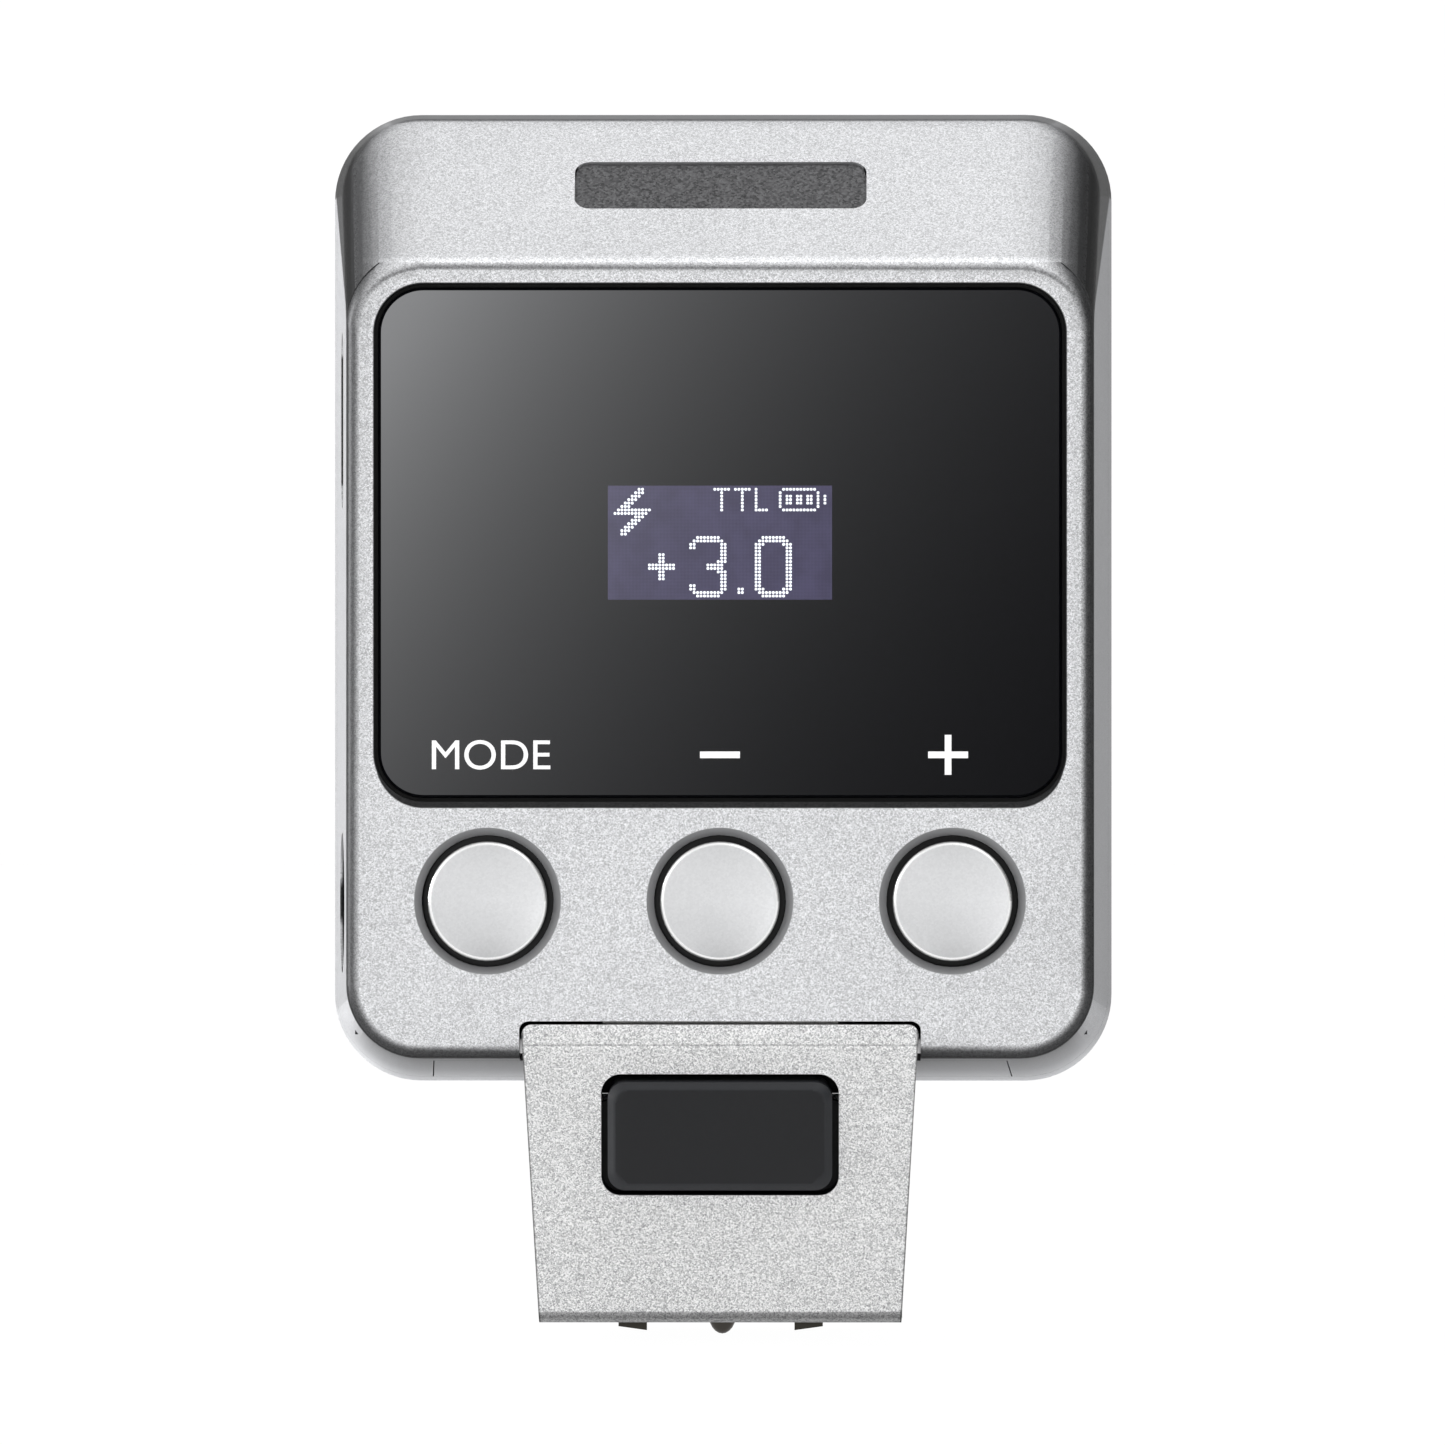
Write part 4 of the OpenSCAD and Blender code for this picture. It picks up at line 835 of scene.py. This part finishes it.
class TRIGGER_OT_head(Operator):
    """Paints the front cover, the housing, the rear cover and their small parts"""

    bl_idname = "trigger.head"
    bl_label = "Head"

    def execute(self, context):
        self.paint_cover()
        self.paint_housing()
        finish_node("badge_plate", self.badge_finish())
        finish_node("af_window", self.window_finish())
        for node in ("rear_screws", "hinge_cover_screws"):
            finish_node(node, brushed(node + "_steel", (0.2, 0.2, 0.21), roughness=0.38))
        return {"FINISHED"}

    def paint_cover(self):
        colour = tuple(colours().silver)
        finish = metallic_paint("silver_paint", colour, PAINT_GRAIN, 0.4)
        paint_rim_shade(finish, RIM_PAINTED_SHADE)
        toned = finish.colour_so_far()
        rings = None
        for node in ("mode_button", "minus_button", "plus_button"):
            axis = middle(node)
            ring = near_axis(finish, axis.x, axis.z, KEY_HOLE_RADIUS, 0.02 * MM)
            rings = ring if rings is None else finish.sums("MAXIMUM", rings, ring)
        # Painted shade in the keys' chamfered holes: lighter on the chamfer, almost black deeper
        # in
        _, depth, _ = finish.parts()
        bore_shade = finish.spread(
            depth, COVER_LOW.y + 0.4 * MM, COVER_LOW.y + 0.45 * MM, 0.85, 0.02
        )
        chamfer = finish.blend(1.0, colour, bore_shade, "MULTIPLY")
        finish.set_colour(finish.blend(rings, toned, chamfer))
        self.shade_window_chamfer(finish)
        self.close_joint(smooth_node("front_cover", finish))

    def shade_window_chamfer(self, finish):
        """Painted shade standing in for a chamfer round the window opening, widest below."""
        across, _, up = finish.parts()
        out = finish.amount(across)
        outside_x = finish.minus(out, GLASS_HIGH.x - WINDOW_CORNER)
        lift = finish.amount(finish.minus(up, GLASS_MID.z))
        half_height = GLASS_HIGH.z - GLASS_MID.z
        outside_z = finish.minus(lift, half_height - WINDOW_CORNER)
        square_x = finish.sums("POWER", finish.sums("MAXIMUM", outside_x, 0.0), 2.0)
        square_z = finish.sums("POWER", finish.sums("MAXIMUM", outside_z, 0.0), 2.0)
        away = finish.sums("SQRT", finish.sums("ADD", square_x, square_z))
        beside = finish.sums("MAXIMUM", away, finish.sums("MAXIMUM", outside_x, outside_z))
        lower = finish.spread(up, GLASS_LOW.z - 0.5 * MM, GLASS_LOW.z + 1.4 * MM, 1.0, 0.0)
        width = finish.sums(
            "MULTIPLY_ADD", lower, CHAMFER_SHADE_MORE_BELOW, WINDOW_CORNER + CHAMFER_SHADE_BESIDE
        )
        past = finish.minus(width, beside)
        deepen(finish, finish.spread(past, 0.0, 0.05 * MM, 1.0, 0.045))

    def close_joint(self, cover):
        """Carries the cover's rim and upper edge across the gap to the housing."""
        rim = max(cover.data.vertices, key=lambda v: v.co.x).co.y
        near = 0.01 * MM
        for vertex in cover.data.vertices:
            if abs(vertex.co.y - rim) < near:
                vertex.co.y += JOINT_GAP
            if vertex.co.z > COVER_HIGH.z - near:
                vertex.co += Vector((0, JOINT_GAP * 0.58, JOINT_GAP))

    def paint_housing(self):
        colour = tuple(colours().housing)
        finish = metallic_paint("housing_paint", colour, PAINT_GRAIN, 0.34)
        paint_rim_shade(finish, RIM_PAINTED_SHADE, flat_walls=True)
        self.shade_shell(finish)
        for node in ("main_housing", "rear_cover", "hinge_cover"):
            smooth_node(node, finish)

    def shade_shell(self, finish):
        """Painted shade and highlight on the drafted shell: corners, top, panel, fold, edges,
        walls and below.
        """
        _, depth, up = finish.parts()
        side, toward, facing = finish.parts(finish.normal)
        turned = finish.amount(side)
        back = finish.minus(depth, COVER_LOW.y)
        self.shade_corners(finish, turned, back, up)
        # Painted shade on the flat top
        top_shade = finish.spread(facing, 0.91, 0.985)
        deepen(finish, finish.steps(top_shade, ((0.0, 1.0), (0.4, 0.5), (1.0, 0.3))))
        self.shade_panel(finish, facing)
        self.paint_fold_highlight(finish, turned, depth, up)
        # Painted shade on the narrow edges of the parting lines, which face the user
        deepen(finish, finish.spread(toward, -0.98, -0.93, 0.08, 1.0))
        # Painted shade on the plain side walls
        deepen(finish, finish.spread(turned, 0.96, 0.99, 1.0, 0.7))
        self.shade_underside(finish, facing, back)
        self.shade_openings(finish)

    def shade_corners(self, finish, turned, back, up):
        """Painted shade on the corners runs down the walls to a line that rises to the rear."""
        start = COVER_HIGH.z - CORNER_DROP
        line = finish.sums("MULTIPLY_ADD", back, CORNER_RISE, start)
        above = finish.minus(up, line)
        over = finish.spread(above, -0.15 * MM, 0.35 * MM, smooth=True)
        corner = finish.times(over, finish.spread(turned, 0.75, 0.9))
        deepen(finish, finish.steps(corner, ((0.0, 1.0), (0.5, 0.3), (1.0, 0.09))))

    def shade_panel(self, finish, facing):
        """Painted shade that falls softly towards the corners of the slanted panel."""
        across, _, _ = finish.parts()
        out = finish.amount(across)
        reach = finish.spread(out, *PANEL_FALL, smooth=True)
        panel = finish.times(reach, finish.spread(facing, 0.3, 0.5))
        deepen(finish, finish.steps(panel, ((0.0, 1.0), (1.0, 0.8))))

    def paint_fold_highlight(self, finish, turned, depth, up):
        """A painted highlight: a thin light band where the panel starts above the fold."""
        rise = finish.minus(up, COVER_HIGH.z)
        band = finish.times(
            finish.spread(rise, 0.02 * MM, 0.1 * MM, smooth=True),
            finish.spread(rise, 0.16 * MM, 0.5 * MM, 1.0, 0.0, smooth=True),
        )
        front = finish.spread(depth, -8.0 * MM, -7.0 * MM, 1.0, 0.0)
        plain = finish.spread(turned, 0.3, 0.7, 1.0, 0.0)
        lit = finish.times(band, finish.times(front, plain))
        deepen(finish, finish.spread(lit, 0.0, 1.0, 1.0, 1.3))

    def shade_underside(self, finish, facing, back):
        """Painted shade on the underside, deepest at the front and brightening to the rear."""
        rear = finish.spread(back, 0.7 * MM, 20.5 * MM)
        tone = finish.steps(rear, ((0.0, 0.24), (0.12, 0.33), (0.5, 0.52), (1.0, 1.0)))
        under = finish.spread(facing, -0.45, -0.75)
        light = tuple(min(1.0, c * 1.5) for c in finish.colour)
        base = finish.colour_so_far()
        below = finish.blend(1.0, light, tone, "MULTIPLY")
        finish.set_colour(finish.blend(under, base, below))

    def shade_openings(self, finish):
        """Painted shade on the walls of the openings at the left, below the wall's own surface.
        """
        across, depth, up = finish.parts()
        wall = finish.spread(
            depth, COVER_LOW.y + 0.7 * MM, HOUSING_HIGH.y, -COVER_HIGH.x, HOUSING_LOW.x
        )
        sunk = finish.minus(across, wall)
        inside = finish.spread(sunk, 0.07 * MM, 0.14 * MM)
        left = finish.spread(across, -14 * MM, -13.5 * MM, 1.0, 0.0)
        ahead = finish.spread(depth, -1.0 * MM, -0.9 * MM, 1.0, 0.0)
        inside = finish.times(inside, finish.times(left, ahead))
        for node in ("usb_port", "side_button"):
            low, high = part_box(node)
            off = finish.amount(finish.minus(up, middle(node).z))
            edge = (high.z - low.z) / 2 + OPENING_MARGIN
            near = finish.spread(off, edge, edge + 0.1 * MM, 1.0, 0.0)
            opening = finish.times(near, inside)
            deepen(finish, finish.spread(opening, 0.0, 1.0, 1.0, 0.05))

    def badge_finish(self):
        colour = tuple(colours().badge)
        return metallic_paint("badge_plate", colour, 0.11 * MM, 0.55, 0.4, 0.5, 2.0)

    def window_finish(self):
        finish = Finish("signal_window", (0.07, 0.004, 0.006), 0.06, IOR=1.5, Coat_Weight=0.6)
        ribs = finish.add("ShaderNodeTexWave", bands_direction="X")
        finish.join(finish.place, ribs.inputs["Vector"])
        ribs.inputs["Scale"].default_value = 420
        finish.set_colour(finish.shaded(ribs.outputs["Fac"], 0.55, 1.6))
        haze = finish.noise(400.0, 3.0)
        finish.set_roughness(finish.spread(haze, 0.3, 0.7, 0.04, 0.09))
        return finish


class TRIGGER_OT_print(Operator):
    """Prints the word and the signs on the glass under the display"""

    bl_idname = "trigger.print"
    bl_label = "Printed marks"

    def execute(self, context):
        # The print glows faintly: painted light that keeps its white bright
        finish = Finish(
            "white_print", tuple(colours().print_white), 0.35, Emission_Strength=0.12
        )
        finish.shader.inputs["Emission Color"].default_value = (1, 1, 1, 1)
        grain = finish.noise(9000.0, 2.0)
        finish.set_colour(finish.shaded(finish.spread(grain, 0.3, 0.7), 0.94, 1.04))
        row = GLASS_LOW.z + 2.18 * MM
        self.print_word(finish, middle("mode_button").x + 0.18 * MM, row)
        wide, stroke = sizes().sign_width, sizes().sign_stroke
        self.print_sign(
            finish, "minus_mark", middle("minus_button").x, row, ((wide, stroke),)
        )
        self.print_sign(
            finish,
            "plus_mark",
            middle("plus_button").x - 0.22 * MM,
            row,
            ((wide, stroke), (stroke, wide)),
        )
        return {"FINISHED"}

    def print_word(self, finish, x, z):
        height = sizes().letter_height
        depth = sizes().print_depth
        curve = bpy.data.curves.new("mode_word", "FONT")
        curve.body = "MODE"
        curve.size = 1.0
        curve.extrude = 0.5
        word = bpy.data.objects.new("mode_word", curve)
        bpy.context.scene.collection.objects.link(word)
        bpy.context.view_layer.update()
        mesh = bpy.data.meshes.new_from_object(word)
        bpy.data.objects.remove(word)
        shape = bmesh.new()
        shape.from_mesh(mesh)
        bpy.data.meshes.remove(mesh)
        low = Vector(min(v.co[i] for v in shape.verts) for i in range(3))
        high = Vector(max(v.co[i] for v in shape.verts) for i in range(3))
        bmesh.ops.translate(shape, vec=-(low + high) / 2, verts=shape.verts)
        bmesh.ops.remove_doubles(shape, verts=shape.verts, dist=1e-5)
        scale = height / (high.y - low.y)
        bmesh.ops.scale(shape, vec=(scale * 1.02, scale, depth), verts=shape.verts)
        bmesh.ops.rotate(shape, cent=(0, 0, 0), matrix=UPRIGHT, verts=shape.verts)
        bmesh.ops.translate(shape, vec=(x, GLASS_FACE - depth / 2, z), verts=shape.verts)
        new_piece("mode_word", shape, finish, "head")

    def print_sign(self, finish, name, x, z, bars):
        depth = sizes().print_depth
        shape = bmesh.new()
        for index, (wide, high) in enumerate(bars):
            lift = depth * (1 + 0.2 * index)
            place = Matrix.Translation((x, GLASS_FACE - lift / 2, z))
            size = Matrix.Diagonal((wide, lift, high, 1))
            bmesh.ops.create_cube(shape, size=1, matrix=place @ size)
        new_piece(name, shape, finish, "head")


class TRIGGER_OT_buttons(Operator):
    """Finishes the round caps on the face and in the side wall"""

    bl_idname = "trigger.buttons"
    bl_label = "Buttons"

    def execute(self, context):
        colour = tuple(colours().cap)
        for node in ("mode_button", "minus_button", "plus_button"):
            finish_node(node, self.cap_finish(node, colour))
        side = metallic_paint("side_cap", tuple(c * 0.5 for c in colour), 0.12 * MM, 0.12)
        finish_node("side_button", side)
        return {"FINISHED"}

    def cap_finish(self, node, colour):
        """Satin dish with a polished rim, with painted reflection on the dish and painted shade
        on the rim and the sides.
        """
        axis = middle(node)
        finish = Finish(node + "_cap", colour, 0.33, 0.85)
        flake = finish.flakes(1 / (0.1 * MM))
        cloud = finish.noise(4200.0, 2.0)
        satin = finish.shaded(
            finish.sums("MULTIPLY_ADD", flake, 0.5, finish.times(cloud, 0.5)),
            0.93,
            1.07,
        )
        rim = near_axis(finish, axis.x, axis.z, 2.86 * MM, 0.03 * MM)
        across, _, up = finish.parts()
        # Painted reflection of the concave dish: darker at its top and bottom near the middle,
        # plainer towards the sides
        lift = finish.spread(up, axis.z - 3 * MM, axis.z + 3 * MM)
        dish = finish.steps(
            lift, ((0.0, 0.7), (0.2, 0.86), (0.5, 1.0), (0.75, 0.97), (1.0, 0.86))
        )
        spread = finish.amount(finish.minus(across, axis.x))
        satin = finish.blend(
            finish.spread(spread, 0.0, 2.9 * MM, 1.0, 0.3, smooth=True),
            satin,
            finish.blend(1.0, satin, dish, "MULTIPLY"),
        )
        # Painted shade on the rim where it turns away from the user
        _, facing, _ = finish.parts(finish.normal)
        edge = finish.steps(
            finish.amount(facing),
            ((0.0, 0.01), (0.25, 0.05), (0.6, 0.25), (0.85, 0.8), (0.97, 0.95)),
        )
        finish.set_colour(finish.blend(rim, edge, satin))
        # Painted shade on the cap's sides deep in its hole
        _, depth, _ = finish.parts()
        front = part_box(node)[0].y
        deepen(
            finish, finish.spread(depth, front + 0.45 * MM, front + 0.55 * MM, 1.0, 0.02)
        )
        finish.set_roughness(finish.spread(rim, 0, 1, 0.2, 0.36))
        finish.raise_surface(cloud, 0.004 * MM, 0.5)
        return finish


class TRIGGER_OT_arm(Operator):
    """Paints the cast arm and finishes the release button"""

    bl_idname = "trigger.arm"
    bl_label = "Arm and release button"

    def execute(self, context):
        colour = tuple(colours().casting)
        finish_node("arm_rear_cover", self.cast_paint("cast_paint", colour))
        smooth_node("arm_shell", self.arm_finish(colour))
        finish_node("arm_cover_screw", brushed("cover_screw_steel", (0.2, 0.2, 0.21)))
        finish_node("hinge_pin", brushed("pin_steel", (0.55, 0.55, 0.56), (30, 1, 1)))
        finish_node("hinge_spring", brushed("leaf_steel", (0.6, 0.6, 0.58), (30, 1, 1)))
        cap = moulded("release_plastic", tuple(colours().black), 0.16 * MM, 0.42)
        cap.shader.inputs["Specular IOR Level"].default_value = 0.22
        # Painted highlight on the cap's bevel, where it turns from the user
        _, toward, _ = cap.parts(cap.normal)
        deepen(cap, cap.spread(toward, -0.99, -0.93, 1.0, 1.9))
        smooth_node("release_button", cap)
        slider = brushed("slider_steel", (0.05, 0.047, 0.04), (1, 1, 12), 0.45)
        finish_node("lock_slider", slider)
        finish_node("lock_springs", brushed("spring_steel", (0.5, 0.5, 0.5), (1, 1, 1)))
        return {"FINISHED"}

    def cast_paint(self, name, colour):
        """Coarse paint on a rough casting."""
        return metallic_paint(name, colour, PAINT_GRAIN, 0.8, 0.66, 0.46, 5.0, 0.1)

    def lowest(self, height):
        """The arm's points within a height of its foot."""
        points = [v.co for v in frame["nodes"]["arm_shell"].data.vertices]
        return [p for p in points if p.z < ARM_LOW.z + height]

    def arm_finish(self, colour):
        """Cast paint with painted shade along the arm's rims, at its fold, in the release
        button's hole and under its rounded foot end.
        """
        finish = self.cast_paint("arm_paint", colour)
        across, _, up = finish.parts()
        # Painted shade along the arm's side rims
        foot_x = max(abs(p.x) for p in self.lowest(0.3 * MM))
        half_width = finish.spread(up, ARM_LOW.z, ARM_CREASE, foot_x, ARM_HIGH.x)
        inward = finish.minus(half_width, finish.amount(across))
        deepen(finish, finish.spread(inward, 0.06 * MM, 0.12 * MM, 0.3, 1.0))
        # Painted shade with a lighter band at the fold
        fold = finish.minus(up, ARM_CREASE)
        deepen(
            finish,
            finish.steps(
                finish.spread(fold, -0.2 * MM, 0.2 * MM),
                ((0.0, 0.9), (0.2, 1.0), (0.36, 1.0), (0.44, 0.66), (0.58, 0.66), (0.7, 0.95)),
            ),
        )
        # Painted shade on the walls of the release button's hole
        low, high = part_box("release_button")
        _, depth, _ = finish.parts()
        foot_y = min(p.y for p in self.lowest(0.9 * MM))
        front = finish.spread(up, ARM_LOW.z, ARM_CREASE, foot_y, ARM_LOW.y)
        sunk = finish.spread(finish.minus(depth, front), 0.1 * MM, 0.3 * MM)
        level = finish.minus(up, (low.z + high.z) / 2)
        for offset, reach in ((across, high.x), (level, (high.z - low.z) / 2)):
            near = finish.spread(
                finish.amount(offset), reach + 0.4 * MM, reach + 0.5 * MM, 1.0, 0.0
            )
            sunk = finish.times(sunk, near)
        deepen(finish, finish.spread(sunk, 0.0, 1.0, 1.0, 0.03))
        # Painted shade under the rounded foot end
        _, _, facing = finish.parts(finish.normal)
        turned = finish.times(finish.sums("MINIMUM", facing, 0.0), -1.0)
        deepen(
            finish,
            finish.steps(turned, ((0.0, 1.0), (0.13, 1.0), (0.24, 0.45), (0.6, 0.3), (0.9, 0.6))),
        )
        return finish


class TRIGGER_OT_foot(Operator):
    """Finishes the shoe foot and its contacts"""

    bl_idname = "trigger.foot"
    bl_label = "Foot and contacts"

    def execute(self, context):
        plate = brushed("foot_steel", (0.56, 0.56, 0.55), (1, 22, 1), 0.3)
        finish_node("foot_plate", plate)
        finish_node("foot_screws", brushed("foot_screw_steel", (0.22, 0.22, 0.23)))
        finish_node("contact_carrier", moulded("carrier_plastic", (0.02, 0.02, 0.022)))
        gold = brushed("contact_gold", (0.83, 0.6, 0.26), (6, 6, 1), 0.22)
        finish_node("data_contacts", gold)
        # The tip's near-black colour is painted shade: it stands for the dome seen dark under the
        # foot
        tip = brushed("contact_tip", (0.06, 0.055, 0.048), (1, 1, 1), 0.4)
        self.make_contact(tip)
        finish_node("contact_spring", brushed("small_spring", (0.5, 0.5, 0.5), (1, 1, 1)))
        return {"FINISHED"}

    def make_contact(self, finish):
        """The centre contact with its dome drawn out below the sole."""
        shape = bmesh.new()
        shape.from_mesh(frame["nodes"]["centre_contact"].data)
        bmesh.ops.remove_doubles(shape, verts=shape.verts, dist=JOIN_DISTANCE)
        for vertex in shape.verts:
            if vertex.co.z < FOOT_LOW.z:
                vertex.co.z *= CONTACT_STRETCH
        smooth_below(shape, SHARP_FROM)
        piece = new_piece(
            "contact_dome",
            shape,
            finish,
            NODE_BODY["centre_contact"],
        )
        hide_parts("centre_contact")


class TRIGGER_OT_inside(Operator):
    """Finishes the boards, the battery and the other parts inside the head"""

    bl_idname = "trigger.inside"
    bl_label = "Inside"

    def execute(self, context):
        board = Finish("solder_mask", (0.012, 0.11, 0.05), 0.32, Coat_Weight=0.3)
        tracks = board.add("ShaderNodeTexVoronoi", distance="MANHATTAN")
        board.join(board.stretched((1, 1, 1), (0, radians(45), 0)), tracks.inputs["Vector"])
        tracks.inputs["Scale"].default_value = 1100
        lines = board.spread(tracks.outputs["Distance"], 0.32, 0.42)
        board.set_colour(board.shaded(lines, 0.7, 1.5))
        board.raise_surface(lines, 0.01 * MM, 0.6)
        finish_node("main_board", board)
        finish_node("board_chips", moulded("chip_plastic", (0.02, 0.02, 0.021), 0.00012))
        for node in ("board_screws", "tact_switches", "side_switch"):
            finish_node(node, brushed(node + "_steel", (0.6, 0.6, 0.58)))
        finish_node("usb_port", brushed("port_steel", (0.5, 0.5, 0.49), (30, 1, 1), 0.28))
        finish_node("radio_module", brushed("shield_tin", (0.62, 0.62, 0.6), (1, 1, 8), 0.36))
        finish_node("antenna", brushed("antenna_gold", (0.8, 0.58, 0.26), (1, 1, 1), 0.26))
        finish_node("button_mat", rubber("silicone_mat", (0.09, 0.09, 0.1)))
        cell = brushed("cell_foil", (0.55, 0.6, 0.66), (6, 1, 1), 0.4, 0.7)
        finish_node("battery", cell)
        finish_node("battery_pad", rubber("battery_foam", (0.07, 0.07, 0.07)))
        finish_node("battery_bracket", moulded("bracket_plastic", (0.03, 0.03, 0.032)))
        lamp = moulded("lamp_board", (0.7, 0.7, 0.68), 0.0003, 0.45)
        finish_node("af_lamp", lamp)
        return {"FINISHED"}


PIECES = (
    TRIGGER_OT_stage,
    TRIGGER_OT_head,
    TRIGGER_OT_display,
    TRIGGER_OT_print,
    TRIGGER_OT_buttons,
    TRIGGER_OT_arm,
    TRIGGER_OT_foot,
    TRIGGER_OT_inside,
)


class TRIGGER_PT_panel(Panel):
    """Lists the sizes, the colours and the pieces"""

    bl_idname = "TRIGGER_PT_panel"
    bl_label = "Flash Trigger"
    bl_space_type = "VIEW_3D"
    bl_region_type = "UI"
    bl_category = "Trigger"

    def draw(self, context):
        layout = self.layout
        for title, group in (
            ("Sizes", context.scene.trigger_sizes),
            ("Colours", context.scene.trigger_colours),
        ):
            box = layout.box()
            box.label(text=title)
            for key in group.__annotations__:
                box.prop(group, key)
        column = layout.column(align=True)
        for piece in PIECES:
            column.operator(piece.bl_idname)


CLASSES = (TriggerSizes, TriggerColours, *PIECES, TRIGGER_PT_panel)


def register():
    for made in CLASSES:
        bpy.utils.register_class(made)
    bpy.types.Scene.trigger_sizes = PointerProperty(type=TriggerSizes)
    bpy.types.Scene.trigger_colours = PointerProperty(type=TriggerColours)


def unregister():
    del bpy.types.Scene.trigger_colours
    del bpy.types.Scene.trigger_sizes
    for made in reversed(CLASSES):
        bpy.utils.unregister_class(made)


def main():
    register()
    for piece in PIECES:
        group, name = piece.bl_idname.split(".")
        getattr(getattr(bpy.ops, group), name)()


if __name__ == "__main__":
    main()
